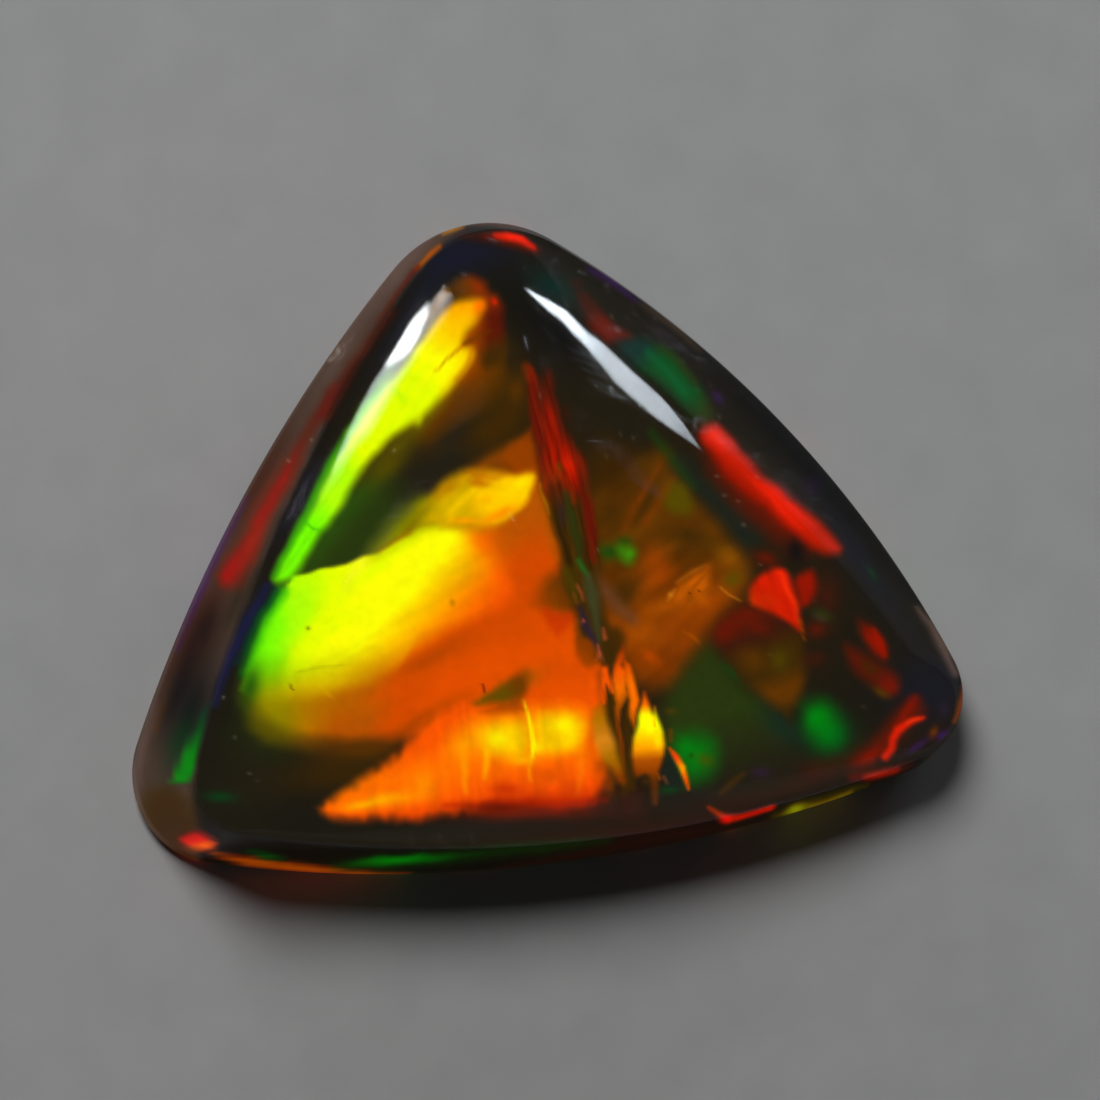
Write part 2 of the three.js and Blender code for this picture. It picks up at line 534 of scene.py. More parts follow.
# The dark green and brown wedge between the largest flash and the strip
OLIVE_WEDGE = (
    Patch(Ramp((300, 572), (470, 430), "moss moss moss soot soot umber"), 1, ((290, 582), (293, 575),
        (319, 568.5), (345, 563.5), (363, 555), (376, 552.5), (408, 535), (421, 526.5), (470, 440),
        (372, 455), (320, 530)), 0, 4, fade=((452, 490), (400, 462))),
    Patch(Ramp((380, 500), (500, 390), "moss soot soot umber umber"), 1, ((368, 540), (420, 504),
        (452, 474), (494, 456), (530, 424), (532, 380), (506, 340), (470, 330), (330, 520)), 1, 26),
    Stroke("leaf", 0.18, ((384, 470), (356, 500), (334, 528), (312, 562)), (8, 16, 16, 8), 24),
    Glow("khaki", 0.45, (398, 446), (28, 9), -46),
    Patch("pear", 0.85, ((368, 555), (396, 518), (430, 492), (440, 524), (420, 528), (380, 552)), 1, 20),
    Stroke("copper", 0.35, ((378, 550), (408, 533), (416, 520)), (1, 3, 3), 6),
    Glow("olive", 0.9, (388, 466), (36, 16), -40),
    Glow("olive", 0.8, (420, 432), (30, 14), -46),
    Glow("brown", 0.45, (440, 440), (36, 12), -40),
    Patch("brown", 1, ((484, 336), (506, 344), (504, 376), (484, 400), (452, 420), (420, 444), (428, 416),
        (460, 384)), 1, 24),
    Glow("rust", 0.55, (478, 366), (30, 14), -64),
    Glow("brown", 0.6, (517, 388), (12, 18), 0),
    Glow("soot", 0.8, (452, 436), (50, 10), -34),
    Glow("soot", 0.7, (512, 356), (10, 30), 0),
    Patch(Ramp((490, 470), (526, 444), "umber rust rust"), 0.9, ((474, 474), (500, 450), (533, 428),
        (539, 470), (512, 474), (490, 472)), 0, 9, fade=((484, 452), (510, 470))),
)
# Colours along the left strip, from its foot up
STRIP_COLOURS = Ramp((282, 574), (470, 312),
    "spring spring spring lime lime lemon lemon lemon lemon yellow gold amber")
# The long flash under the left highlight, from green at its foot to orange at its tip
LEFT_STRIP = (
    Patch(Ramp((446, 292), (480, 282), "umber brown red_brown"), 0.95, ((442, 296), (446, 287), (459, 278),
        (473, 275), (484, 282), (488, 294), (470, 303)), 1, 9),
    Patch(Ramp((484, 300), (500, 350), "red_brown wine wine umber"), 0.85, ((482, 292), (502, 296),
        (505, 330), (504, 362), (482, 372), (470, 344)), 1, 9),
    Patch(Ramp((360, 470), (480, 330), "olive olive khaki copper rust"), 0.9, ((346, 492), (366, 462),
        (470, 318), (482, 304), (484, 320), (482, 350), (472, 372), (448, 398), (424, 424), (398, 440),
        (372, 466)), 1, 13),
    Patch(STRIP_COLOURS, 1, ((273, 579), (282, 558), (293, 537), (304, 518), (313, 505), (315, 496),
        (333, 462), (356, 422), (377, 394), (407, 359), (430, 326), (450, 303), (464, 300), (480, 300),
        (485, 305), (479, 315), (471, 325), (464, 334), (462, 346), (473, 352), (470, 360), (462, 372),
        (450, 387), (436, 401), (424, 413), (408, 425), (391, 437), (378, 451), (366, 463), (357, 476),
        (348, 494), (340, 508), (326, 527), (320, 533), (306, 557), (294, 577), (285, 582), (275, 583)), 1,
        9, grain=Grain(-55, 7, 70, 0.04)),
    Stroke("leaf", 0.75, ((273, 578), (282, 558), (304, 518), (329, 465), (348, 432), (376, 388),
        (394, 362)), (3, 5, 6, 7, 6, 6, 2), 7),
    Stroke("mustard_brown", 0.7, ((446, 292), (440, 300), (434, 310), (426, 322)), (7, 9, 7, 3), 7),
    Stroke("lime", 0.5, ((350, 432), (371, 401), (391, 374)), (5, 8, 3), 10),
    Glow("gold", 0.6, (464, 322), (12, 26), 34),
    Glow("orange", 0.85, (480, 306), (7, 12), 34),
    Stroke("gold", 0.6, ((471, 350), (460, 368), (440, 392)), (3, 6, 1), 12),
    Stroke("copper", 0.5, ((472, 350), (466, 364), (456, 380)), (2, 4, 2), 6),
    Stroke("copper", 0.7, ((436, 370), (450, 357), (464, 345)), (1, 2, 4), 4),
    Stroke("brown", 0.8, ((464, 344), (478, 337), (492, 330)), (3, 3, 1), 4),
    Stroke("lime", 0.5, ((393, 389), (406, 401)), (5, 3), 8),
    Glow("scarlet", 0.8, (495, 301), (4, 4)),
    Stroke("leaf", 0.7, ((304, 520), (312, 528), (320, 530)), (2, 2, 1), 3),
    Glow("lemon", 0.4, (418, 420), (5, 10), 8),
)
# The amber flash above the largest one, ending at the fracture
AMBER_PATCH = (
    Patch(Ramp((396, 530), (500, 490), "olive khaki mustard mustard gold"), 1, ((404, 533), (412, 512),
        (431, 498), (448, 480), (465, 472), (490, 474), (512, 478), (524, 500), (500, 522), (470, 530),
        (432, 525)), 1, 14, grain=Grain(-40, 8, 26, 0.1)),
    Stroke("copper", 0.5, ((468, 472), (480, 476), (500, 480), (508, 477)), (2, 5, 4, 1), 7),
    Glow("mustard_brown", 0.7, (450, 488), (18, 9), -30),
    Patch(Ramp((460, 520), (512, 486), "amber gold gold"), 1, ((462, 520), (470, 500), (484, 486),
        (500, 480), (511, 477), (532, 473), (535, 480), (531, 494), (522, 507), (508, 516), (490, 524),
        (473, 526)), 1, 7, fade=((456, 510), (486, 492))),
    Glow("yellow", 0.35, (520, 484), (16, 7), -30),
    Glow("orange", 0.6, (500, 514), (30, 7), -24),
    Glow("amber", 0.9, (466, 520), (20, 5), 0),
    Glow("copper", 0.7, (480, 483), (16, 7), 10),
    Glow("amber", 0.4, (486, 500), (10, 8), 0),
    Glow("mustard", 0.8, (436, 517), (18, 9), -20),
    Stroke("cream", 0.3, ((509, 513), (514, 521)), (1.2, 1.6), 2.5),
    Glow("copper", 0.5, (512, 536), (30, 12), -50),
)
# The brown and orange clouds right of the fracture, with the green spots in them
RIGHT_CLOUDS = (
    Patch(Ramp((620, 450), (640, 660), "umber brown brown rust rust"), 0.85, ((596, 430), (640, 446),
        (668, 455), (700, 500), (726, 522), (746, 556), (748, 590), (716, 624), (700, 650), (676, 684),
        (644, 690), (616, 660), (600, 600), (588, 500)), 1, 22, grain=Grain(-40, 16, 40, 0.16)),
    Glow("soot", 0.8, (630, 430), (50, 18), 20),
    Glow("brown", 0.7, (664, 462), (22, 16), 30),
    Patch("olive", 0.95, ((673, 478), (686, 482), (693, 500), (690, 516), (672, 512), (662, 502)), 1, 12),
    Glow("umber", 0.7, (646, 500), (10, 30), 32),
    Glow("umber", 0.5, (612, 514), (14, 20)),
    Stroke("rust", 0.45, ((659, 466), (645, 488), (634, 508), (624, 530)), (2, 5, 8, 3), 9),
    Stroke("copper", 0.2, ((659, 467), (638, 500)), (1, 1), 3),
    Stroke("rust", 0.45, ((675, 477), (646, 522)), (2, 8), 10),
    Glow("umber", 0.75, (690, 536), (30, 12), 14),
    Glow("mustard_brown", 0.3, (728, 556), (26, 14), 40),
    Glow("olive", 0.8, (733, 580), (12, 14), 30),
    Patch("ember", 0.35, ((646, 548), (662, 546), (674, 566), (668, 584), (650, 586), (642, 568)), 1, 20),
    Glow("copper", 0.7, (664, 606), (40, 16), -14),
    Glow("copper", 0.55, (640, 632), (40, 24), 20),
    Glow("rust", 0.9, (650, 660), (24, 14), 30),
    Glow("burnt", 0.4, (650, 656), (14, 7), 40),
    Patch(Ramp((676, 600), (706, 570), "copper copper copper"), 0.8, ((670, 597), (678, 584), (692, 574),
        (709, 565), (712, 586), (705, 602), (690, 606)), 0, 10, grain=Grain(-50, 5, 14, 0.22)),
    Stroke("tan", 0.4, ((676, 584), (692, 573), (706, 565)), (1, 2, 1), 4),
    Glow("copper", 0.7, (700, 598), (12, 8), 20),
    Glow("tan", 0.5, (670, 595), (3.5, 3)),
    Stroke("tan", 0.55, ((667, 600), (670, 595), (675, 590)), (1, 3, 1), 3),
    Stroke("tan", 0.6, ((721, 587), (729, 595), (740, 601)), (1, 2, 1), 3),
    Stroke("copper", 0.55, ((684, 631), (694, 637), (699, 642)), (1, 3, 2), 4),
    Glow("maroon", 0.9, (690, 594), (1.6, 1.6)),
    Glow("maroon", 0.9, (700, 591), (1.6, 1.6)),
    Glow("umber", 0.85, (624, 596), (20, 26), 20),
    Stroke("taupe_red", 0.75, ((592, 576), (608, 594), (632, 620)), (8, 14, 10), 12),
    Glow("forest", 0.9, (610, 552), (20, 12)),
    Glow("forest", 0.7, (624, 542), (12, 9)),
    Patch("leaf", 0.5, ((617, 545), (632, 547), (637, 552), (634, 563), (626, 565), (618, 557)), 1, 9),
    Glow("leaf", 0.45, (630, 554), (6, 5), 20),
    Stroke("ink_green", 1, ((680, 462), (702, 486), (722, 506), (750, 536)), (14, 20, 22, 26), 20),
    Stroke("forest", 0.55, ((652, 432), (662, 446), (694, 486)), (6, 8, 3), 12),
    Patch(Ramp((700, 650), (740, 780), "moss moss soot"), 0.95, ((703, 645), (716, 648), (745, 688),
        (770, 706), (800, 744), (800, 790), (690, 800), (660, 740), (664, 700), (680, 676)), 1, 20),
    Glow("pine", 0.5, (732, 672), (16, 6), 50),
    Glow("teal", 0.5, (782, 726), (40, 18), 40),
    Patch("emerald", 0.85, ((674, 738), (700, 734), (716, 746), (712, 772), (690, 782), (678, 764)), 1, 24),
    Glow("emerald", 0.5, (684, 750), (10, 12)),
    Glow("olive", 0.6, (706, 760), (12, 9)),
    Glow("forest", 0.8, (692, 756), (4, 4)),
    Glow("pine", 0.8, (670, 789), (14, 6), -10),
    Stroke("brown", 0.5, ((721, 794), (732, 784), (743, 774)), (3, 5, 2), 8),
    Glow("violet", 0.25, (761, 772), (14, 8)),
)
# The small red and green flashes near the top, and the violet and brown of the rim
TOP_RIGHT_SLOPE = (
    Stroke("maroon", 0.9, ((462, 236), (496, 238), (536, 250)), (4, 12, 8), 9),
    Stroke("wine", 0.8, ((484, 236), (500, 237), (534, 249)), (4, 9, 6), 6),
    Stroke(Ramp((495, 235), (534, 247), "red scarlet scarlet red"), 1, ((495, 235), (506, 235), (522, 240),
        (533, 247)), (5, 8, 8, 5), 4.5),
    # Painted light: the thin top rim lit along its edge, in mauve and tan
    Stroke("mauve", 0.7, ((440, 229), (462, 224), (490, 223), (520, 227), (540, 234)), (3, 6, 7, 6, 2), 5),
    Stroke("tan", 0.6, ((444, 234), (453, 230), (464, 227)), (3, 4, 1), 4),
    Patch(Ramp((578, 294), (616, 334), "maroon maroon wine wine"), 0.95, ((575, 290), (586, 292),
        (598, 305), (608, 318), (632, 338), (606, 343), (592, 330), (582, 312)), 0, 8),
    Glow("maroon", 0.7, (576, 283), (8, 5)),
    Patch(Ramp((640, 350), (706, 412), "teal pine pine pine moss"), 0.95, ((616, 346), (637, 337),
        (654, 341), (676, 357), (694, 381), (712, 406), (714, 422), (701, 424), (680, 403), (660, 381),
        (634, 366)), 1, 11),
    Stroke("moss", 0.75, ((656, 344), (676, 360), (696, 382)), (3, 8, 6), 8),
    Stroke("fern", 0.7, ((647, 352), (664, 368), (686, 393)), (6, 4, 6), 8),
    Stroke("violet", 0.55, ((588, 268), (612, 280), (636, 300)), (4, 8, 3), 8),
    Glow("violet", 0.45, (718, 398), (11, 7), 48),
    Glow("violet", 0.2, (812, 487), (10, 14), 50),
    Glow("plum", 0.5, (672, 342), (40, 7), 44),
    # Painted light along the right upper rim
    Stroke("taupe", 0.7, ((642, 304), (672, 326), (700, 350)), (2, 6, 2), 7),
    Glow("pine", 0.6, (872, 573), (12, 4), 54),
)
# The bright red bar on the right slope, with the soft dark red on its lower side
RED_BAR = (
    Patch("wine", 0.85, ((698, 432), (716, 428), (756, 474), (800, 506), (830, 548), (796, 556), (770, 536),
        (740, 512), (712, 478)), 1, 20),
    Patch("crimson", 1, ((700, 430), (720, 426), (760, 480), (812, 520), (818, 546), (786, 531), (769, 511),
        (748, 496), (735, 485), (716, 462), (703, 441)), 1, 9),
    Patch(Ramp((712, 440), (840, 552), "scarlet red red scarlet scarlet red scarlet"), 1, ((706, 431),
        (711, 427), (719, 426), (727, 434), (744, 455), (758, 474), (775, 485), (790, 497), (812, 516),
        (833, 537), (843, 552), (826, 555), (808, 545), (786, 520), (762, 496), (738, 474), (718, 452),
        (704, 438)), 1, 10, grain=Grain(46, 6, 40, 0.06), fray=Grain(46, 12, 60, 0.25)),
    Glow("scarlet", 0.7, (716, 438), (16, 7), 50),
    Glow("scarlet", 0.7, (774, 496), (40, 6), 42),
    Glow("ink", 0.9, (796, 551), (12, 17), -14),
)
# The red, green and violet flashes of the right corner and its rim
RIGHT_CORNER = (
    Glow("wine", 0.85, (766, 559), (18, 11), 20),
    Patch(Ramp((740, 620), (770, 694), "wine maroon umber umber brown"), 0.95, ((714, 628), (738, 606),
        (756, 606), (802, 628), (806, 660), (804, 688), (790, 712), (770, 703), (747, 685), (730, 664),
        (716, 643)), 1, 12),
    Glow("wine", 0.9, (726, 632), (18, 12), -40),
    Glow("wine", 0.7, (757, 626), (20, 9), 30),
    Glow("olive", 0.6, (780, 660), (14, 16), 20),
    Glow("brown", 0.6, (752, 660), (22, 16), 40),
    Glow("umber", 0.6, (788, 712), (7, 14), -10),
    Glow("maroon", 0.9, (826, 596), (20, 32), 0),
    Glow("wine", 0.7, (817, 630), (16, 12), 0),
    Glow("maroon", 0.8, (815, 659), (16, 12), 0),
    Patch(Ramp((752, 612), (796, 592), "burnt_red red red scarlet"), 1, ((748, 603), (751, 588), (760, 574),
        (777, 567), (788, 571), (793, 587), (798, 603), (801, 622), (800, 632), (793, 625), (779, 617),
        (762, 609)), 1, 7, grain=Grain(70, 6, 20, 0.08)),
    Stroke("vermilion", 0.5, ((781, 573), (788, 590), (796, 606), (799, 622)), (2, 3, 3, 2), 4),
    Glow("burnt_red", 0.5, (768, 600), (14, 10), 30),
    Patch("crimson", 0.95, ((794, 578), (811, 568), (816, 575), (817, 591), (810, 604), (800, 608),
        (797, 592)), 1, 8),
    Stroke("rust", 0.8, ((800, 620), (802, 630), (804, 640)), (3, 3, 1), 4),
    Glow("moss", 0.7, (822, 614), (16, 8), 20),
    Glow("taupe", 0.4, (820, 618), (10, 6), 30),
    Patch(Ramp((858, 616), (884, 660), "maroon wine crimson crimson wine"), 0.95, ((856, 616), (864, 620),
        (874, 627), (884, 640), (890, 658), (884, 661), (873, 652), (862, 636)), 1, 9),
    Stroke("crimson", 0.8, ((874, 630), (880, 642), (886, 655)), (4, 7, 4), 5),
    Stroke("wine", 0.5, ((871, 626), (872, 640)), (1, 2), 3),
    Patch(Ramp((850, 650), (894, 690), "wine wine wine crimson"), 0.8, ((843, 644), (856, 648), (874, 660),
        (896, 672), (899, 690), (888, 696), (866, 682), (852, 668)), 1, 12),
    Glow("umber", 0.7, (870, 668), (12, 8), 44),
    Glow("olive", 0.55, (882, 692), (12, 6), 30),
    Glow("pine", 0.95, (830, 736), (32, 28)),
    Patch("emerald", 0.75, ((806, 704), (822, 700), (838, 712), (842, 734), (830, 746), (812, 740),
        (805, 722)), 1, 22),
    Glow("emerald", 1, (816, 718), (13, 14)),
    Patch("wine", 0.85, ((904, 700), (922, 696), (925, 714), (906, 730), (890, 748), (864, 766), (846, 764),
        (872, 744)), 1, 13),
    Stroke("crimson", 0.6, ((916, 698), (908, 712), (898, 726)), (6, 8, 6), 9),
    Glow("crimson", 0.6, (872, 757), (22, 8), -30),
    Stroke("wine", 0.85, ((852, 778), (880, 775), (910, 766)), (6, 11, 4), 10),
    Stroke("burnt_red", 0.75, ((866, 776), (880, 774), (896, 769)), (3, 6, 3), 8),
    Stroke("scarlet", 0.85, ((922, 717), (909, 724.5), (898, 731.5), (893.5, 739), (892, 748), (886, 758)),
        (4, 7, 8, 7, 6, 6), 5),
    Stroke("vermilion", 0.5, ((919, 718), (909, 724)), (2, 3), 4),
    Glow("violet", 0.5, (917, 746), (18, 5), -38),
    Glow("violet", 0.6, (942, 735), (9, 5), -40),
    Glow("plum", 0.5, (944, 710), (8, 14), 20),
    Glow("rust", 0.6, (934, 732), (5, 9), 26),
    # Painted reflection: the mauve line along the right rim
    Stroke("mauve", 0.8, ((918, 608), (931, 624), (944, 648), (956, 674)), (3, 7, 10, 6), 8),
    Stroke("rust", 0.75, ((964, 684), (964, 700), (954, 722)), (2, 7, 3), 6),
)
# Upright columns in the bottom flame
COLUMNS = Grain(turn=84, spacing=9, length=60, amount=0.07)
# The flame along the bottom, its yellow heart and the dark olive notch above it
BOTTOM_FLAME = (
    Glow("wine", 0.8, (520, 812), (120, 12), 0),
    Patch(Ramp((450, 690), (470, 822), "ember flame flame orange flame burnt_red"), 1, ((316, 812),
        (331, 801), (353, 786), (376, 771), (393, 758), (405, 747), (414, 735), (428, 719), (449, 709),
        (474, 699), (520, 668), (560, 650), (594, 660), (602, 690), (604, 740), (608, 774), (604, 792),
        (586, 806), (540, 808), (497, 806), (467, 810), (423, 820), (380, 819), (340, 820)), 1, 11,
        grain=COLUMNS, ragged=2.5),
    Patch("ember", 0.8, ((530, 664), (590, 664), (600, 700), (560, 706), (520, 704)), 1, 20),
    Glow("burnt", 0.7, (556, 668), (40, 18), 0),
    Patch(Ramp((500, 716), (510, 780), "amber amber orange flame"), 0.9, ((446, 744), (470, 722),
        (500, 714), (560, 708), (588, 712), (594, 744), (570, 766), (480, 776), (446, 770)), 1, 22,
        grain=COLUMNS),
    Glow("amber", 0.95, (388, 800), (50, 11), -8, grain=COLUMNS),
    Glow("gold", 0.6, (522, 760), (20, 9), 0),
    Glow("gold", 0.5, (360, 805), (26, 5), -12),
    Glow("orange", 0.8, (420, 778), (30, 20), -50, grain=COLUMNS),
    Glow("amber", 0.5, (424, 784), (14, 18), 10),
    Patch("gold", 0.95, ((482, 730), (500, 724), (522, 724), (530, 742), (524, 756), (500, 756),
        (484, 750)), 1, 14, grain=COLUMNS),
    Patch("gold", 0.95, ((536, 718), (560, 714), (580, 720), (583, 740), (570, 752), (548, 756),
        (538, 748)), 1, 14, grain=COLUMNS),
    Glow("yellow", 0.6, (498, 739), (15, 10)),
    Glow("yellow", 0.6, (564, 726), (15, 10)),
    Glow("yellow", 0.6, (538, 748), (8, 10)),
    Stroke("yellow", 0.9, ((524.5, 700), (527, 712), (531, 727), (534, 744), (533, 757)), (1, 2, 3, 4.5, 2),
        3.5),
    Stroke("gold", 0.6, ((533, 756), (530.5, 769), (530, 780)), (2.5, 2, 1), 5),
    Stroke("amber", 0.7, ((464, 742), (464, 766), (466, 792)), (3, 8, 3), 7),
    Stroke("gold", 0.6, ((486, 750), (487, 764), (485, 778)), (3, 5, 2), 6),
    Stroke("amber", 0.4, ((580, 748), (582, 772), (576, 796)), (3, 5, 1), 7),
    Glow("burnt_red", 0.85, (506, 790), (24, 12), -4),
    Glow("burnt", 0.6, (550, 776), (20, 12), 0),
    Glow("burnt_red", 0.9, (540, 802), (70, 13), -4),
    Glow("maroon", 0.7, (632, 800), (20, 26), 0),
    Glow("rust", 0.7, (611, 784), (8, 15), 0),
    Stroke("crimson", 0.5, ((446, 806), (500, 804), (560, 805), (606, 800)), (5, 10, 10, 6), 8),
    Glow("wine", 0.7, (532, 812), (62, 8), 0),
    Glow("burnt", 0.4, (592, 740), (10, 36), 4),
    Glow("rust", 0.6, (601, 766), (10, 14), 0),
    Glow("wine", 0.8, (500, 808), (34, 6), 0),
    Glow("copper", 0.75, (530, 680), (22, 10), -36),
    Patch(Ramp((484, 702), (534, 668), "olive olive brown copper"), 0.9, ((470, 706), (486, 694),
        (506, 681), (528, 667), (532, 674), (527, 690), (520, 702), (497, 704)), 1, 9),
    Patch("rust", 0.7, ((480, 712), (490, 704), (507, 701), (522, 694), (524, 710), (506, 713)), 0, 8),
    Stroke("flame", 0.6, ((472, 712), (484, 709), (496, 706)), (1, 3, 1), 5),
    Glow("rust", 0.5, (428, 722), (12, 6), -50),
)
# Fine streaks down the fracture, and the gaps where it breaks up
STREAKS = Grain(turn=76, spacing=3.4, length=34, amount=0.22)
GAPS = Grain(turn=74, spacing=4.5, length=30, amount=0.8)
# The steep crack through the middle, red at its top, dark below and torn at its foot
FRACTURE = (
    Patch(Ramp((550, 420), (600, 650), "maroon wine umber umber umber umber"), 0.95, ((531, 368),
        (530, 410), (539, 470), (545, 500), (552, 522), (561, 548), (564, 576), (574, 606), (578, 640),
        (596, 664), (620, 660), (606, 620), (600, 590), (597, 550), (586, 480), (570, 440), (556, 400)), 1,
        8, grain=STREAKS),
    Patch("red_brown", 0.5, ((522, 364), (529, 362), (533, 372), (529, 384), (524, 376)), 1, 6),
    Patch("crimson", 0.55, ((528, 366), (536, 370), (538, 400), (541, 430), (540, 446), (534, 436),
        (529, 410)), 1, 6, grain=STREAKS),
    Glow("red_brown", 0.6, (546, 484), (18, 5), 80),
    Stroke("red_brown", 0.7, ((566, 478), (571, 491), (574, 502)), (5, 8, 3), 6),
    Patch(Ramp((550, 372), (556, 480), "wine wine crimson crimson crimson red_brown"), 0.85, ((545, 368),
        (553, 374), (553, 400), (558, 430), (562, 450), (560, 476), (552, 482), (546, 462), (543, 430),
        (542, 400)), 1, 11, grain=STREAKS),
    Patch(Ramp((560, 432), (580, 496), "wine crimson red crimson wine"), 0.8, ((558, 430), (568, 438),
        (574, 456), (582, 468), (584, 492), (572, 498), (564, 480), (560, 456)), 1, 11, grain=STREAKS,
        fray=GAPS),
    Patch("wine", 1, ((576, 446), (586, 462), (592, 500), (596, 536), (596, 566), (588, 552), (584, 510)),
        1, 8, grain=STREAKS, fray=GAPS),
    Glow("maroon", 0.5, (566, 414), (8, 14), -20),
    Glow("olive", 0.7, (560, 466), (3, 7)),
    Stroke("moss", 0.75, ((566, 494), (570, 514), (577, 536), (579, 556)), (5, 8, 8, 5), 6),
    Glow("plum", 0.5, (562, 512), (6, 18), -10),
    Stroke("fern_brown", 0.9, ((578, 560), (583, 569), (588, 577)), (5, 6, 3), 5),
    Stroke("grey_olive", 0.85, ((588, 578), (593, 596), (599, 642)), (8, 13, 4), 8),
    Stroke("olive", 0.5, ((568, 572), (572, 584), (576, 600)), (10, 12, 6), 10),
    Stroke("plum", 0.9, ((580, 608), (585, 624), (592, 638), (599, 650)), (4, 8, 7, 4), 5),
    Patch("umber", 0.85, ((606, 630), (620, 628), (626, 640), (618, 660), (606, 666), (600, 650)), 1, 9),
    Patch("rust", 0.8, ((577, 636), (590, 640), (597, 652), (598, 664), (588, 669), (580, 662)), 1, 6),
    Stroke("clay", 0.6, ((578, 586), (582, 594), (583, 601)), (2, 3, 1.5), 4),
    Stroke("clay", 0.35, ((574, 594), (577, 604)), (1.5, 1.5), 4),
    Glow("clay", 0.9, (582.5, 621.5), (2, 3)),
    Stroke("clay", 0.7, ((603, 629), (605, 638)), (2, 4), 4),
    Stroke("clay", 0.7, ((598, 645), (600, 654), (603, 660)), (2, 4, 1), 4),
    Stroke("clay", 0.6, ((597, 660), (600, 652)), (1.5, 1.5), 2.5),
    Patch("umber", 0.95, ((603, 690), (616, 688), (618, 704), (615, 722), (633, 790), (622, 796),
        (622, 768), (612, 742), (606, 716)), 0, 5),
    Patch("umber", 0.95, ((626, 694), (632, 700), (636, 790), (626, 786), (625, 750), (622, 724)), 0, 5),
    Patch(Ramp((598, 700), (620, 778), "copper mustard_brown tan mustard_brown rust"), 0.95, ((590, 712),
        (600, 702), (604, 704), (607, 720), (615, 744), (623, 766), (627, 786), (616, 780), (604, 760),
        (594, 740)), 1, 7),
    Stroke(Ramp((620, 700), (622, 770), "copper rust rust brown"), 0.95, ((622, 694), (618, 708),
        (617.5, 726), (622, 748), (625, 770)), (10, 6, 4, 4, 2), 4),
    Patch("flame", 0.95, ((601, 668), (607, 666), (611, 680), (614, 694), (611, 693), (606, 684),
        (605, 704), (602, 704)), 0, 3.5),
    Patch(Ramp((618, 648), (620, 706), "red_brown flame orange copper"), 0.95, ((623, 646), (624, 656),
        (621, 664), (626, 672), (625, 690), (620, 706), (615, 700), (612, 680), (615, 664), (618, 654)), 0,
        4.5),
    Patch(Ramp((628, 662), (636, 728), "ember orange orange copper"), 1, ((624, 660), (629, 664),
        (639, 700), (637, 716), (634, 730), (630, 716), (629, 700), (625, 680)), 0, 4),
    Glow("maroon", 0.6, (652, 740), (16, 40), -6),
    Patch(Ramp((646, 694), (648, 782), "flame orange yellow yellow gold amber copper rust umber"), 1,
        ((642, 702), (644, 692), (648, 702), (654, 715), (655, 708), (659, 720), (663, 731), (665, 744),
        (664, 756), (660, 766), (655, 782), (646, 774), (636, 778), (632, 756), (634, 738), (638, 724)), 0,
        4.5),
    Glow("yellow", 0.8, (650, 728), (6, 11)),
    Glow("yellow", 0.6, (658, 742), (5, 10)),
    Stroke("orange", 0.6, ((654, 717), (655, 726)), (1, 1), 3),
    Glow("umber", 0.8, (646, 780), (6, 7)),
    Patch("ink_green", 0.95, ((668.5, 750), (676, 766), (683, 788), (666, 789), (659, 771), (664, 764)), 0,
        5),
    Stroke(Ramp((670, 748), (688, 790), "ember vermilion amber flame ember"), 1, ((669.5, 748), (676, 757),
        (682, 767), (685, 777), (688, 789)), (1.5, 6, 6.5, 5, 2), 3.5),
    Stroke("rust", 0.6, ((671, 730), (671, 741)), (3, 3), 4),
    Stroke("clay", 0.55, ((663, 777), (666, 784)), (2.5, 1), 4),
    Stroke("copper", 0.7, ((657, 773), (659, 780)), (2, 2), 3),
    Stroke("rust", 0.6, ((654, 780), (655, 802)), (7, 4), 7),
    Glow("copper", 0.2, (671, 712), (8, 5)),
)
# The thin rim along the bottom: red and orange at the left corner, then green, red and yellow
BOTTOM_RIM = (
    Patch(Ramp((200, 828), (206, 850), "crimson red scarlet flame flame"), 0.9, ((178, 840), (188, 833),
        (198, 832), (207, 837), (218, 846), (208, 851), (190, 848)), 1, 6),
    Glow("orange", 0.5, (203, 846), (10, 3), 14),
    Stroke("copper", 0.85, ((214, 853), (250, 863), (310, 870), (370, 874), (410, 876)), (3, 9, 9, 5, 1),
        7),
    Stroke("pine", 1, ((247, 852), (264, 856), (284, 859)), (3, 7, 3), 7),
    # Painted reflection: the green along the rim is the flashes reflected in it
    Stroke("forest", 0.8, ((336, 866), (390, 864), (450, 857), (540, 848), (610, 840)), (2, 12, 12, 9, 2),
        12),
    Glow("emerald", 0.85, (396, 860), (60, 7), -3),
    Stroke("maroon", 0.8, ((500, 868), (600, 852), (700, 830)), (2, 6, 2), 7),
    Stroke("burnt_red", 0.9, ((709, 808), (718, 814), (727, 820), (745, 816), (774, 807)), (2, 4, 8, 3, 2),
        6),
    Glow("scarlet", 1, (727, 820), (8, 5)),
    Stroke("scarlet", 0.7, ((738, 819), (756, 814), (772, 809)), (2, 3, 4), 5),
    Stroke("olive", 1, ((774, 817), (798, 809), (840, 795), (866, 785)), (4, 13, 9, 3), 8),
    Glow("pear", 0.8, (797, 810), (15, 7), -14),
    Stroke("khaki", 0.7, ((812, 808), (850, 794)), (4, 3), 6),
)
# Specks of dust that show well, and faint ones
PALE_SPECKS = ((724, 496), (739, 502), (744, 525), (728, 449), (758, 477), (718, 476), (540, 396),
    (612, 316), (695, 426), (720, 417), (235, 737), (223, 697), (311, 440), (288, 460), (395, 450))
FAINT_SPECKS = ((606, 456), (634, 437), (620, 433), (598, 550), (770, 655), (608, 284), (628, 318),
    (711, 385), (684, 362), (697, 390), (864, 707), (760, 565), (300, 507), (250, 774), (258, 780))
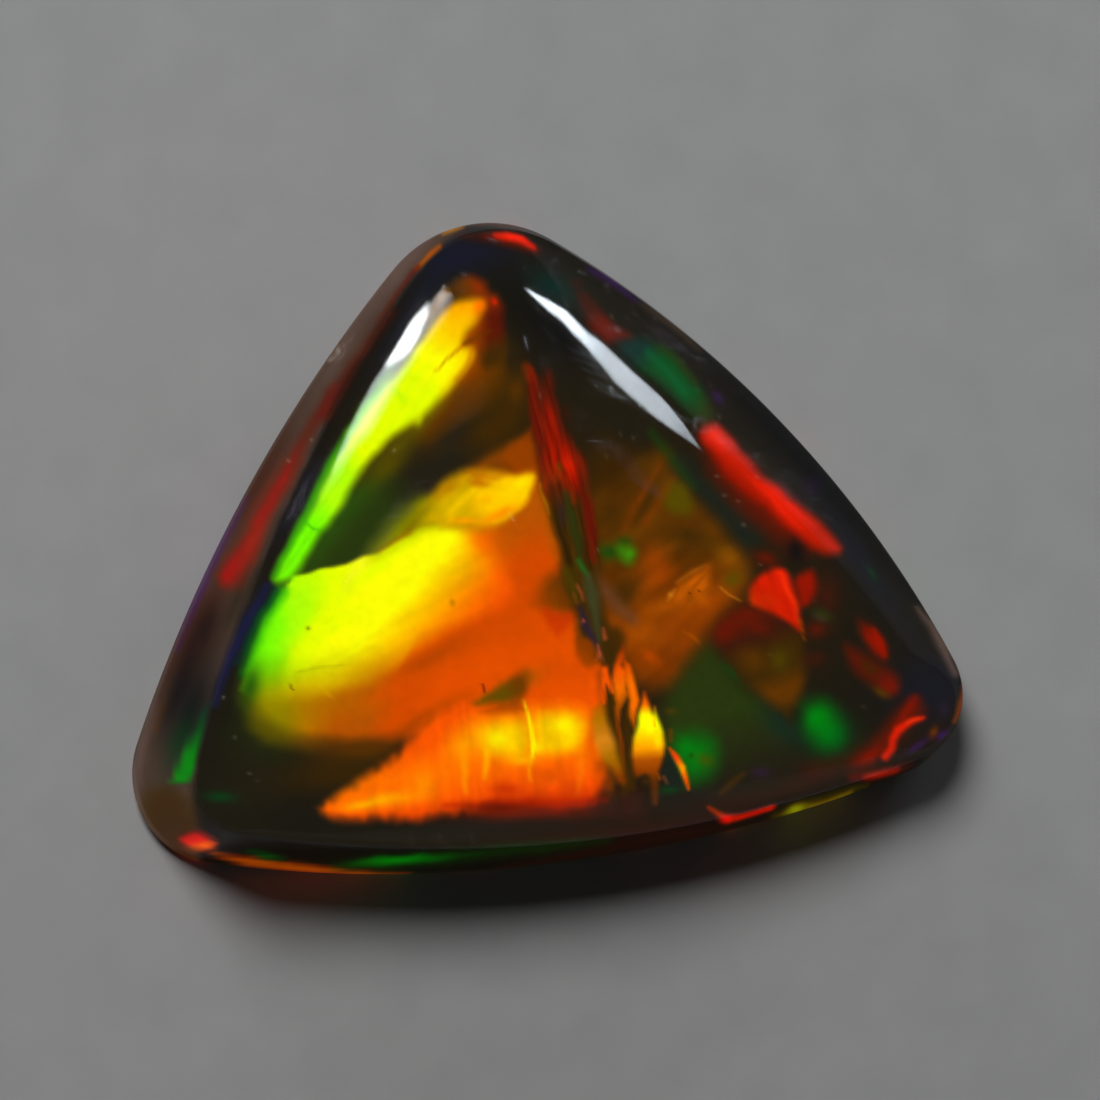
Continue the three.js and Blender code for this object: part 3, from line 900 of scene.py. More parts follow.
# Specks of dust and short hairs on the polish, pale over the dark parts, and painted highlight streaks
DUST_AND_HIGHLIGHT_STREAKS = (
    *(Glow("cream", 0.26, speck, (2, 2.2)) for speck in PALE_SPECKS),
    *(Glow("cream", 0.16, speck, (2, 2.2)) for speck in FAINT_SPECKS),
    Stroke("cream", 0.4, ((329, 360), (337, 351), (343, 344)), (1, 2.5, 1), 3),
    Stroke("mauve", 0.7, ((343, 346), (348, 336)), (1.5, 2), 3),
    # Painted highlight: a grey-blue glow and streaks along the crown side of the right highlight
    Stroke("mist", 0.3, ((584, 346), (602, 368), (628, 392), (652, 412)), (3, 8, 6, 2), 14),
    *(Stroke("mist", 0.3, ((across, down), (across + 28, down + 11)), (0.4, 2.4), 4) for across,
        down in ((568, 346), (570, 357), (578, 367), (586, 378), (598, 389), (572, 351), (592, 384))),
    Glow("olive", 0.7, (307.7, 628.7), (3, 2.6)),
    Glow("wine", 0.9, (397.4, 747), (2.6, 2.2)),
    Stroke("olive", 0.8, ((290, 684), (291, 688), (293, 690)), (1.5, 1.5, 1), 2),
    Stroke("wine", 0.8, ((482, 684), (484, 691)), (2, 2.5), 2.5),
    Stroke("mauve", 0.3, ((410, 838), (414, 846)), (1, 1), 3),
    Stroke("mauve", 0.3, ((440, 834), (443, 844)), (1, 1), 3),
    Stroke("mauve", 0.3, ((470, 832), (474, 842)), (1, 1), 3),
)
# Every mark of the side that the photograph shows, in the order it is laid
PHOTOGRAPHED_MARKS = (*DARK_BODY, *LEFT_WALL, *GREAT_FLASH, *OLIVE_WEDGE, *LEFT_STRIP, *AMBER_PATCH,
    *RIGHT_CLOUDS, *TOP_RIGHT_SLOPE, *RED_BAR, *RIGHT_CORNER, *BOTTOM_FLAME, *FRACTURE, *BOTTOM_RIM, *DUST_AND_HIGHLIGHT_STREAKS)


@dataclass(frozen=True)
class Painting:
    """How the marks are laid on the body, and what the unseen sides get in their place.

    Attributes:
        marks: The marks, in the order that they are laid.
        waves: Size of the waves that keep an edge from being too straight, in pixels.
        push: How far they push it, in pixels.
        mottles: Sizes of the two noises that mottle the colours, in pixels.
        mottling: How much each changes the brightness.
        guessed: Hues of the patches on the sides that the photograph doesn't show.
        patch_size: Width and height of those patches in the plan, in millimetres.
        patch_start: Where their noise starts, in patches.
        patch_slant: How far they shift for each millimetre of height, in patches.
        patch_onset: Noise at which a patch begins, and how much further it is full.
        patch_cover: How much a full patch hides.
    """

    marks: tuple[Mark, ...] = PHOTOGRAPHED_MARKS
    waves: float = 14
    push: float = 1.2
    mottles: Point = (9, 3.5)
    mottling: float = 0.018
    guessed: tuple[Hue, ...] = (Hue.UMBER, Hue.PINE, Hue.WINE, Hue.BROWN, Hue.LEAF, Hue.RUST)
    patch_size: Point = (2.6, 1.5)
    patch_start: float = 20
    patch_slant: Point = (0.9, 1.3)
    patch_onset: Point = (0.33, 0.6)
    patch_cover: float = 0.8

    def seen(self, place: Array) -> Array:
        """Display colours of the whole pattern at places of the photograph.

        The places are first pushed about by smooth noise, and the colours are then mottled by two
        finer noises.

        Args:
            place: Points in photograph pixels.

        Returns:
            One row of red, green and blue for each point.
        """
        waves = [lattice_noise(*(place / self.waves).T, seed) for seed in (11, 12)]
        pushed = place + self.push * np.stack(waves, axis=1)
        colour = np.tile(np.array(Hue.BODY.value) / 255, (len(place), 1))
        for mark in self.marks:
            mark.lay(pushed, colour)
        mottle = sum(lattice_noise(*(place / size).T, seed) for seed, size in enumerate(self.mottles, 13))
        return np.clip(colour * (1 + self.mottling * mottle[:, None]), 0, 1)

    def unseen(self, points: Array) -> Array:
        """Display colours for the sides that the photograph doesn't show.

        The smoky body gets soft patches of each guessed hue. A hue's cover eases in where a noise
        of its own, with 0.3 of one three times finer, passes the onset. The noises are read in the
        plan, shifted by the height, and one eight times finer changes the brightness by 0.06.

        Args:
            points: Points in millimetres.

        Returns:
            One row of red, green and blue for each point.
        """
        spot = points[:, :2] / self.patch_size + self.patch_start + points[:, 2:] * self.patch_slant
        start, rise = self.patch_onset
        colour = np.tile(np.array(Hue.SOOT.value) / 255, (len(points), 1))
        for seed, hue in enumerate(self.guessed, 21):
            noise = lattice_noise(*spot.T, seed) + 0.3 * lattice_noise(*(spot * 3).T, seed + 10)
            cover = self.patch_cover * smooth_step((noise - start) / rise)
            colour += (np.array(hue.value) / 255 - colour) * cover[:, None]
        return np.clip(colour * (1 + 0.06 * lattice_noise(*(spot * 8).T, 40)[:, None]), 0, 1)


@dataclass(frozen=True)
class PhotoView:
    """Where the photograph was taken from, in the stone's own frame before it is centred.

    Attributes:
        tilt: How far the line of sight leans from straight down, in degrees.
        roll: How far the picture is turned round the line of sight, in degrees.
        distance: From the camera to the point it looks at, in millimetres.
        scale: Pixels to a millimetre at that point.
        side: Width and height of the picture, in pixels.
        sensor: Width of the camera's sensor, in millimetres.
        nearest: Nearest that the camera sees, in millimetres.
        farthest: Farthest that it sees.
    """

    tilt: float = 18
    roll: float = 9
    distance: float = 160
    scale: float = 60
    side: float = 1100
    sensor: float = 36
    nearest: float = 10
    farthest: float = 2000

    def axes(self) -> Array:
        """The picture's right and up and the way back to the camera, as the rows of a turn.

        Returns:
            Three unit rows.
        """
        tilt, roll = np.radians((self.tilt, self.roll))
        up = np.array((np.sin(roll), np.cos(roll), 0))
        right = np.array((np.cos(tilt) * np.cos(roll), -np.cos(tilt) * np.sin(roll), np.sin(tilt)))
        return np.stack((right, up, np.cross(right, up)))

    def pixels(self, points: Array) -> Array:
        """Where points fall in the photograph: right and up by the scale, grown as they come near.

        Args:
            points: Points in millimetres, before the stone is centred.

        Returns:
            One row of across and down in pixels for each point.
        """
        across, up, back = self.axes() @ points.T
        near = self.scale * self.distance / (self.distance - back)
        return np.stack((self.side / 2 + across * near, self.side / 2 - up * near), axis=1)

    def make_camera(self, shift: Array) -> bpy.types.Object:
        """Sets the scene's camera at the photograph's angle.

        Args:
            shift: How far the stone was moved to be centred, in millimetres.

        Returns:
            The camera.
        """
        data = bpy.data.cameras.new("photo_camera")
        data.sensor_width = self.sensor
        data.lens = data.sensor_width * self.distance / (self.side / self.scale)
        data.clip_start, data.clip_end = self.nearest * MM, self.farthest * MM
        camera = link_object("photo_camera", data)
        axes = self.axes()
        turn = Matrix([tuple(row) for row in axes.T]).to_4x4()
        camera.matrix_world = Matrix.Translation((axes[2] * self.distance + shift) * MM) @ turn
        bpy.context.scene.camera = camera
        return camera


@dataclass(frozen=True)
class Corner:
    """A corner of the girdle: its arc's centre and radius, and the wall's height under its tip."""

    x: float
    y: float
    radius: float
    wall: float


# The middle of the stone, towards which a hollow is pressed
STONE_MIDDLE = np.array((-0.5, -0.9, 1.3))
# How near its pixel a point must show to be the middle of a hollow
PICKING_REACH = 4


@dataclass(frozen=True)
class Dimple:
    """A small hollow in the surface: its pixel in the photograph, radius and depth in millimetres."""

    pixel: Point
    radius: float
    depth: float

    def dent(self, points: Array, view: PhotoView) -> Array:
        """Presses the surface in around the point that the pixel shows.

        The depth falls off as the square of one less the squared distance, in radii.

        Args:
            points: The surface's points in millimetres.
            view: The photograph's view.

        Returns:
            The points with the hollow.
        """
        seen = np.hypot(*(view.pixels(points) - self.pixel).T) < PICKING_REACH
        height = np.where(seen, points @ view.axes()[2], -np.inf)
        spot = points[height.argmax()]
        inward = STONE_MIDDLE - spot
        inward /= np.linalg.norm(inward)
        reach = np.linalg.norm(points - spot, axis=1) / self.radius
        share = np.clip(1 - reach**2, 0, 1) ** 2
        return points + self.depth * share[:, None] * inward


CHIP = Dimple((336, 350), 0.22, 0.07)
SMALL_CHIP = Dimple((346, 334), 0.13, 0.05)
PIT = Dimple((822, 600), 0.14, 0.03)
DIMPLES = (CHIP, SMALL_CHIP, PIT)


@dataclass(frozen=True)
class StoneShape:
    """The stone's surface, worked out from the same driving sizes as the CAD, in millimetres.

    Attributes:
        corners: The girdle's corners, anticlockwise.
        side_radii: Radius of the shallow arc that follows each corner.
        lean: How far the wall leans inwards, in degrees.
        bevel: Height and width of the bevel round the back.
        crown: The top of the dome in plan.
        rise: How far the dome rises over the girdle.
        steepening: Power by which the dome steepens towards the girdle.
        crown_radius: Radius of the dome's level lines near the crown.
        rounding: How far the level lines turn from the outline into circles.
        rounding_power: How soon they do.
        edge: Share of the dome and of the wall that the polished edge of the girdle rounds off.
        cells: Cells along each side of the dome's grid.
        wall_rings: Rings of points down the wall.
        back_rings: Rings of points on the back.
        arc_steps: Points on each arc of the outline.
        fine_steps: Points round the foot from which its middle is found.
    """

    corners: tuple[Corner, ...] = (
        Corner(-0.54, 3.42, 2.02, 0.7),
        Corner(-6.27, -2.69, 1, 2.2),
        Corner(5.31, -3.26, 1.14, 1.25),
    )
    side_radii: tuple[float, ...] = (24.5, 25.8, 17.1)
    lean: float = 14.6
    bevel: float = 0.2
    crown: Point = (-0.9, -0.75)
    rise: float = 2.3
    steepening: float = 2.2
    crown_radius: float = 4.8
    rounding: float = 0.9
    rounding_power: float = 1.8
    edge: float = 0.03
    cells: int = 276
    wall_rings: int = 10
    back_rings: int = 3
    arc_steps: int = 900
    fine_steps: int = 4000

    def side_centres(self) -> list[Array]:
        """Centre of each side arc, which touches the corner arcs at its two ends from inside.

        Returns:
            One point in plan for each side.
        """
        centres = []
        for index, (start, radius) in enumerate(zip(self.corners, self.side_radii)):
            end = self.corners[(index + 1) % 3]
            chord = np.array((end.x - start.x, end.y - start.y))
            length = np.hypot(*chord)
            to_start, to_end = radius - start.radius, radius - end.radius
            foot = (to_start**2 - to_end**2 + length**2) / (2 * length)
            along = chord / length
            inward = np.array((-along[1], along[0]))
            centres.append((start.x, start.y) + along * foot + inward * np.sqrt(to_start**2 - foot**2))
        return centres

    def outline(self) -> tuple[Array, Array]:
        """Points of the girdle in plan and their outward directions as angles, anticlockwise.

        Returns:
            The points in millimetres, and the direction at each in radians.
        """
        sides = self.side_centres()
        arcs = []
        for index, corner in enumerate(self.corners):
            centre = np.array((corner.x, corner.y))
            following = self.corners[(index + 1) % 3]
            turn_in, turn_out, turn_end = (
                np.arctan2(*offset[::-1])
                for offset in (centre - sides[index - 1], centre - sides[index],
                               (following.x, following.y) - sides[index])
            )
            for middle, radius, start, end in ((centre, corner.radius, turn_in, turn_out),
                                               (sides[index], self.side_radii[index], turn_out, turn_end)):
                angle = start + np.linspace(0, (end - start) % (2 * np.pi), self.arc_steps, endpoint=False)
                arcs.append((middle + radius * np.stack((np.cos(angle), np.sin(angle)), 1), angle))
        return np.vstack([arc[0] for arc in arcs]), np.unwrap(np.hstack([arc[1] for arc in arcs]))

    def girdle_height(self, plan: Array) -> Array:
        """Height of the girdle over points of the plan: the plane through the three corner tips.

        Args:
            plan: Points seen from above, in millimetres.

        Returns:
            The height over each point.
        """
        centres = np.array([(corner.x, corner.y) for corner in self.corners])
        outward = centres - centres.mean(0)
        radii = np.array([[corner.radius] for corner in self.corners])
        tips = centres + outward / np.hypot(*outward.T)[:, None] * radii
        plane = np.linalg.solve(np.c_[tips, np.ones(3)], [corner.wall for corner in self.corners])
        return plan @ plane[:2] + plane[2]

    def disc(self) -> tuple[Array, Array]:
        """A square grid pressed into a disc: each square ring becomes a circle of equal share.

        Returns:
            Distance from the middle, from 0 to 1, and turn round it as a share, for each grid point.
        """
        line = np.linspace(-1, 1, self.cells + 1)
        right, up = np.meshgrid(line, line)
        wide = np.abs(right) > np.abs(up)
        reach = np.where(wide, right, up)
        share = np.where(wide, up, right) / np.where(reach == 0, 1, reach)
        turn = np.where(wide, share, 2 - share) / 8 + np.where(reach < 0, 0.5, 0)
        return np.abs(reach), turn % 1

    def rays(self, turn: Array) -> tuple[Array, Array, Array]:
        """Rays from the crown to the girdle, shared out so that equal turns hold equal area.

        Args:
            turn: Turn round the crown as a share, from 0 to 1.

        Returns:
            Unit rays, their lengths to the girdle, and the girdle's outward directions there.
        """
        points, normals = self.outline()
        offset = points - self.crown
        angle = np.unwrap(np.arctan2(offset[:, 1], offset[:, 0]))
        angle = np.append(angle, angle[0] + 2 * np.pi)
        length = np.append(np.hypot(*offset.T), np.hypot(*offset[0]))
        normals = np.append(normals, normals[0] + 2 * np.pi)
        area = np.append(0, np.cumsum((length[1:] ** 2 + length[:-1] ** 2) / 2 * np.diff(angle)))
        place = turn * area[-1]
        ray, out = np.interp(place, area, angle), np.interp(place, area, normals)
        return (np.stack((np.cos(ray), np.sin(ray)), -1), np.interp(place, area, length),
                np.stack((np.cos(out), np.sin(out)), -1))

    def dome(self, reach: Array, turn: Array) -> Array:
        """Points of the dome. The radius is the reach times a blend of the ray's length and the
        crown radius; the rise over the girdle is one less the reach to the steepening power.

        Args:
            reach: 0 at the crown and 1 at the girdle.
            turn: Turn round the crown as a share.

        Returns:
            The points in millimetres.
        """
        ray, length, _ = self.rays(turn)
        keep = 1 - self.rounding * (1 - reach) ** self.rounding_power
        radius = reach * (self.crown_radius + (length - self.crown_radius) * keep)
        plan = np.asarray(self.crown) + ray * radius[..., None]
        height = self.girdle_height(plan) + self.rise * (1 - reach**self.steepening)
        return np.concatenate((plan, height[..., None]), -1)

    def wall(self, depth: Array, turn: Array, inset: float = 0) -> Array:
        """Points of the wall, which leans outwards from the girdle down to the bevel.

        Args:
            depth: 0 at the girdle and 1 at the top of the bevel.
            turn: Turn round the crown as a share.
            inset: How far the points are moved in from the wall, in millimetres.

        Returns:
            The points in millimetres.
        """
        ray, length, outward = self.rays(turn)
        plan = np.asarray(self.crown) + ray * length[..., None]
        top = self.girdle_height(plan)
        height = top + (self.bevel - top) * depth
        spread = (top - height) * np.tan(np.radians(self.lean)) - inset
        return np.concatenate((plan + outward * spread[..., None], height[..., None]), -1)

    def rounded(self, points: Array, place: Array, turn: Array) -> Array:
        """Rounds the girdle with a quadratic curve whose middle control point is the sharp edge.

        Args:
            points: Points of the dome or wall.
            place: How far each is past the girdle, as a share, negative on the dome.
            turn: Its turn round the crown.

        Returns:
            The points, moved where they are within the edge.
        """
        along = np.clip((place / self.edge + 1) / 2, 0, 1)[..., None]
        above = self.dome(np.full_like(turn, 1 - self.edge), turn)
        sharp = self.dome(np.ones_like(turn), turn)
        below = self.wall(np.full_like(turn, 2 * self.edge), turn)
        curve = (1 - along) ** 2 * above + 2 * along * (1 - along) * sharp + along**2 * below
        return np.where((np.abs(place) < self.edge)[..., None], curve, points)

    def centring(self) -> Array:
        """The move that puts the middle of the stone's box over the origin."""
        foot = self.wall(np.ones(self.fine_steps), np.linspace(0, 1, self.fine_steps))
        return -np.append((foot.min(0) + foot.max(0))[:2] / 2, 0)


@dataclass(frozen=True)
class GroupSocket:
    """An input or output of a shader group: its name, kind of socket and starting value."""

    name: str
    kind: str = "NodeSocketFloat"
    value: float | tuple[float, ...] | None = None


class ShaderGroup:
    """A shader node group under construction, with named inputs and outputs."""

    def __init__(self, name: str, inputs: Iterable[GroupSocket], outputs: Iterable[GroupSocket]) -> None:
        """Makes the group and its sockets.

        Args:
            name: Name of the group.
            inputs: Its inputs.
            outputs: Its outputs.
        """
        self.tree = bpy.data.node_groups.new(name, "ShaderNodeTree")
        for sockets, way in ((inputs, "INPUT"), (outputs, "OUTPUT")):
            for socket in sockets:
                made = self.tree.interface.new_socket(socket.name, in_out=way, socket_type=socket.kind)
                if socket.value is not None:
                    made.default_value = socket.value
        self.source = self.tree.nodes.new("NodeGroupInput").outputs
        self.result = self.tree.nodes.new("NodeGroupOutput").inputs


def add_node(tree: NodeTree, kind: str, inputs: dict[str, Any] | None = None, **settings: Any) -> Any:
    """Adds a node, sets its properties, and sets or links its inputs.

    Args:
        tree: Where the node goes.
        kind: The node's type.
        inputs: For each input's name, a value or the socket that feeds it.
        **settings: Properties of the node.

    Returns:
        The node.
    """
    node = tree.nodes.new(kind)
    for name, value in settings.items():
        setattr(node, name, value)
    for name, value in (inputs or {}).items():
        socket = node.inputs[int(name)] if name.isdigit() else node.inputs[name]
        if isinstance(value, bpy.types.NodeSocket):
            tree.links.new(value, socket)
        else:
            socket.default_value = value
    return node


def add_noise(tree: NodeTree, place: Socket, scale: float, detail: float) -> Socket:
    """Adds a Noise Texture that is read at a place, and gives its value."""
    inputs = {"Vector": place, "Scale": scale, "Detail": detail}
    return add_node(tree, "ShaderNodeTexNoise", inputs).outputs[0]


def span(tree: NodeTree, value: Socket, ends: Point) -> Socket:
    """Adds a node that spreads a value from 0 to 1 over the span between two ends."""
    limits = {"Value": value, "To Min": ends[0], "To Max": ends[1]}
    return add_node(tree, "ShaderNodeMapRange", limits).outputs[0]


def cleared_tree(owner: Any) -> NodeTree:
    """The node tree of a material, light or world, with nothing in it.

    Args:
        owner: The material, light or world.

    Returns:
        Its node tree.
    """
    owner.use_nodes = True
    owner.node_tree.nodes.clear()
    return owner.node_tree


def link_object(name: str, data: Any) -> bpy.types.Object:
    """Makes an object of a mesh, light or camera and puts it in the scene.

    Args:
        name: The object's name.
        data: The mesh, light or camera.

    Returns:
        The object.
    """
    made = bpy.data.objects.new(name, data)
    bpy.context.scene.collection.objects.link(made)
    return made


def calculate(tree: NodeTree, operation: str, *values: float | Socket) -> Socket:
    """Adds a Math node that works on up to three values, and gives its result."""
    inputs = {str(index): value for index, value in enumerate(values)}
    return add_node(tree, "ShaderNodeMath", inputs, operation=operation).outputs[0]


# Turn of each set of scratches, and its noise's scale along X, Y and Z, per metre
SCRATCH_SETS = ((0.5, (9000.0, 500.0, 2000.0)), (-1.1, (700.0, 8000.0, 2000.0)))
# How near its middle the noise makes a scratch
SCRATCH_WIDTH = 0.006
# Scale of the waviness and of the cloudy patches, per metre
WAVE_SCALE = 500.0
CLOUD_SCALE = 260.0
# Noise of those patches where the polish is at its smoothest and at its roughest
CLOUD_SPAN = (0.3, 0.8)


def polish_marks() -> NodeTree:
    """A group for the wear of a hand polish: a faint waviness and fine scratches in two directions.

    The height is a broad noise plus narrow dips where a stretched noise passes its middle, and the
    roughness rises in those dips and in slow cloudy patches.

    Returns:
        The group, with outputs Height and Roughness.
    """
    group = ShaderGroup(
        "polish marks",
        (GroupSocket("Place", "NodeSocketVector"), GroupSocket("Scratches", value=0.5),
         GroupSocket("Lowest roughness", value=0.01), GroupSocket("Highest roughness", value=0.06)),
        (GroupSocket("Height"), GroupSocket("Roughness")),
    )
    tree, source = group.tree, group.source
    scratches = []
    for turn, stretch in SCRATCH_SETS:
        spun = add_node(tree, "ShaderNodeMapping", {"Vector": source["Place"], "Rotation": (0, 0, turn),
                                                    "Scale": stretch})
        noise = add_noise(tree, spun.outputs[0], 1, 1)
        middle = calculate(tree, "ABSOLUTE", calculate(tree, "SUBTRACT", noise, 0.5))
        scratches.append(calculate(tree, "LESS_THAN", middle, SCRATCH_WIDTH))
    marks = calculate(tree, "MULTIPLY", calculate(tree, "MAXIMUM", *scratches), source["Scratches"])
    wave = add_noise(tree, source["Place"], WAVE_SCALE, 2)
    cloud = add_noise(tree, source["Place"], CLOUD_SCALE, 4)
    tree.links.new(calculate(tree, "SUBTRACT", wave, marks), group.result["Height"])
    rough = calculate(tree, "ADD", cloud, marks)
    limits = {"Value": rough, "From Min": CLOUD_SPAN[0], "From Max": CLOUD_SPAN[1],
              "To Min": source["Lowest roughness"], "To Max": source["Highest roughness"]}
    tree.links.new(add_node(tree, "ShaderNodeMapRange", limits).outputs[0], group.result["Roughness"])
    return tree


@dataclass(frozen=True)
class OpalFinish:
    """The look of the smoky opal: clear glass that swallows light, and colour flashes painted as glow.

    Attributes:
        ior: Index of refraction of opal.
        smoke: Colour that light takes on as it crosses the stone.
        density: How soon the stone swallows light, per metre.
        glow: Strength of the flashes, which the stone gives off as painted light.
        bump: Depth of the polish marks, in millimetres.
        bump_strength: How strongly they turn the light.
    """

    ior: float = 1.38
    smoke: tuple[float, float, float] = (0.35, 0.25, 0.1)
    density: float = 15000
    glow: float = 1.0
    bump: float = 0.002
    bump_strength: float = 0.3

    def make(self) -> bpy.types.Material:
        """Builds the material, which reads the painted flashes from the mesh.

        Returns:
            The material.
        """
        material = bpy.data.materials.new("smoky_opal")
        material.cycles.emission_sampling = "NONE"
        tree = cleared_tree(material)
        place = add_node(tree, "ShaderNodeTexCoord").outputs["Object"]
        flash = add_node(tree, "ShaderNodeAttribute", attribute_name="flash")
        marks = add_node(tree, "ShaderNodeGroup", {}, node_tree=polish_marks())
        tree.links.new(place, marks.inputs["Place"])
        relief = {"Height": marks.outputs["Height"], "Strength": self.bump_strength,
                  "Distance": self.bump * MM}
        shader = add_node(tree, "ShaderNodeBsdfPrincipled", {
            "Base Color": (1, 1, 1, 1),
            "Roughness": marks.outputs["Roughness"],
            "IOR": self.ior,
            "Transmission Weight": 1.0,
            # The painted flashes are given off as light: the stone glows with them
            "Emission Color": flash.outputs["Color"],
            "Emission Strength": self.glow,
            "Normal": add_node(tree, "ShaderNodeBump", relief).outputs[0],
        })
        body = {"Color": (*self.smoke, 1), "Density": self.density}
        smoke = add_node(tree, "ShaderNodeVolumeAbsorption", body)
        add_node(tree, "ShaderNodeOutputMaterial", {"Surface": shader.outputs[0], "Volume": smoke.outputs[0]})
        return material


def linear(colour: Array) -> Array:
    """Linear light of display colours, by the standard curve with its straight foot."""
    return np.where(colour <= 0.04045, colour / 12.92, ((colour + 0.055) / 1.055) ** 2.4)


def grid_quads(index: Array) -> Array:
    """Quads between the rows of an array of point numbers, turned anticlockwise.

    Args:
        index: Point numbers on a grid.

    Returns:
        Four point numbers for each quad.
    """
    return np.stack((index[:-1, :-1], index[:-1, 1:], index[1:, 1:], index[1:, :-1]), -1).reshape(-1, 4)


@dataclass
class OpalStone:
    """The one piece: the polished stone with its painted flashes.

    Attributes:
        shape: Its surface.
        view: Where the photograph was taken from.
        painting: Its flashes of colour.
        finish: Its material.
        shine: Share of light that the polish reflects head-on.
        floor_light: Light of the floor as the stone's sides reflect it.
        floor_onset: How soon a reflection turns from the room to the floor.
        least: Share of a colour's light that is left at least under that reflection.
        grazing: How far a point faces the photograph when its colour is no longer guessed.
    """

    shape: StoneShape = field(default_factory=StoneShape)
    view: PhotoView = field(default_factory=PhotoView)
    painting: Painting = field(default_factory=Painting)
    finish: OpalFinish = field(default_factory=OpalFinish)
    shine: float = 0.03
    floor_light: float = 0.095
    floor_onset: float = 4
    least: float = 0.3
    grazing: float = 0.12

    def surface(self) -> tuple[Array, Array, Array]:
        """The closed surface as a dome grid, rings down the wall and rings across the back.

        Returns:
            The points in millimetres before centring, the quads and the triangles.
        """
        shape = self.shape
        reach, turn = shape.disc()
        dome = shape.rounded(shape.dome(reach, turn), reach - 1, turn)
        numbers = np.arange(reach.size).reshape(reach.shape)
        border = np.concatenate((numbers[0, :-1], numbers[:-1, -1], numbers[-1, :0:-1], numbers[:0:-1, 0]))
        around = turn.ravel()[border]
        rings = [shape.rounded(shape.dome(np.ones_like(around), around), np.full_like(around, place), around)
                 for place in shape.edge * np.array((1 / 3, 2 / 3))]
        rings += [shape.wall(np.full_like(around, depth), around)
                  for depth in np.linspace(2 * shape.edge, 1, shape.wall_rings)]
        foot = shape.wall(np.ones_like(around), around, shape.bevel) * (1, 1, 0)
        centre = np.array((*shape.crown, 0))
        rings += [centre + (foot - centre) * (share, share, 1)
                  for share in np.linspace(1, 0, shape.back_rings, endpoint=False)]
        points = np.vstack([dome.reshape(-1, 3), *rings, centre])
        for dimple in DIMPLES:
            points = dimple.dent(points, self.view)
        lower = reach.size + np.arange(len(rings) * len(around)).reshape(len(rings), -1)
        loops = np.vstack([border, lower])
        loops = np.hstack([loops, loops[:, :1]])
        quads = np.vstack([grid_quads(numbers), grid_quads(loops)[:, ::-1]])
        last = loops[-1]
        fan = np.stack([last[1:], last[:-1], np.full(len(last) - 1, len(points) - 1)], axis=1)
        return points, quads, fan

    def build(self) -> bpy.types.Object:
        """Makes the mesh, paints it and gives it its finish.

        Returns:
            The stone's object.
        """
        points, quads, fan = self.surface()
        mesh = bpy.data.meshes.new("opal_body")
        mesh.vertices.add(len(points))
        places = (points + self.shape.centring()) * SNUG * MM
        mesh.vertices.foreach_set("co", places.astype(np.float32).ravel())
        corners = np.concatenate((quads.ravel(), fan.ravel()))
        counts = np.repeat((4, 3), (len(quads), len(fan)))
        mesh.loops.add(len(corners))
        mesh.loops.foreach_set("vertex_index", corners.astype(np.int32))
        mesh.polygons.add(len(counts))
        mesh.polygons.foreach_set("loop_start", (np.cumsum(counts) - counts).astype(np.int32))
        mesh.update(calc_edges=True)
        mesh.validate()
        mesh.shade_smooth()
        self.paint(mesh, points)
        on_back = [(points[faces, 2] == 0).all(1).repeat(faces.shape[1]) for faces in (quads, fan)]
        self.lay_out(mesh, points, corners, np.concatenate(on_back))
        mesh.materials.append(self.finish.make())
        return link_object("opal_body", mesh)

    def paint(self, mesh: bpy.types.Mesh, points: Array) -> None:
        """Lays the marks over the points as the attribute flash, in linear light.

        Where the photograph sees a point, it gets the photographed marks, less the haze that the
        floor's reflection puts over it there, since the floor of the scene adds its own. The haze
        is the head-on share plus the rest times the fifth power of one less the facing. The sides
        that the photograph doesn't show get guessed marks. The bevel round the back, which shows
        through the thin rim, is treated as the wall above it.

        Args:
            mesh: The mesh, which gets the attribute.
            points: Its points in millimetres before centring.
        """
        normals = np.empty(3 * len(points), np.float32)
        mesh.vertex_normals.foreach_get("vector", normals)
        normals = normals.reshape(-1, 3).astype(float)
        outward = np.hypot(*normals.T[:2])
        normals[:, 2] = np.maximum(normals[:, 2], np.sin(np.radians(self.shape.lean)) * outward)
        back = self.view.axes()[2]
        facing = normals @ back
        mirrored = 2 * facing[:, None] * normals - back
        reflected = self.shine + (1 - self.shine) * (1 - np.clip(facing, 0, 1)) ** 5
        haze = self.floor_light * reflected * smooth_step(-self.floor_onset * mirrored[:, 2])
        light = linear(self.painting.seen(self.view.pixels(points)))
        light = np.maximum(light - haze[:, None], self.least * light)
        hidden = 1 - smooth_step(facing / self.grazing)
        light += (linear(self.painting.unseen(points)) - light) * hidden[:, None]
        flash = np.c_[light, np.ones(len(points))].astype(np.float32)
        mesh.attributes.new("flash", "FLOAT_COLOR", "POINT").data.foreach_set("color", flash.ravel())

    def lay_out(self, mesh: bpy.types.Mesh, points: Array, corners: Array, on_back: Array) -> None:
        """Lays the surface out flat: the dome as seen from above with the wall spread round it by
        its depth, and the back, smaller, in the free corner beside them.

        Args:
            mesh: The mesh, which gets the map.
            points: Its points in millimetres before centring.
            corners: The point at each face corner.
            on_back: Whether each face corner belongs to the flat back.
        """
        plan = points[:, :2]
        ray = plan - self.shape.crown
        ray /= np.maximum(np.hypot(*ray.T), TINY)[:, None]
        depth = np.maximum(self.shape.girdle_height(plan) - points[:, 2], 0)
        spread = plan + ray * depth[:, None]
        low = spread.min(axis=0)
        size = (spread.max(axis=0) - low).max()
        main = MARGIN + (1 - 2 * MARGIN) * (spread - low) / size
        spare = np.array(BACK_CORNER) + BACK_SCALE * (plan - low) / size
        place = np.where(on_back[:, None], spare[corners], main[corners])
        mesh.uv_layers.new(name="OFBake").data.foreach_set("uv", place.astype(np.float32).ravel())


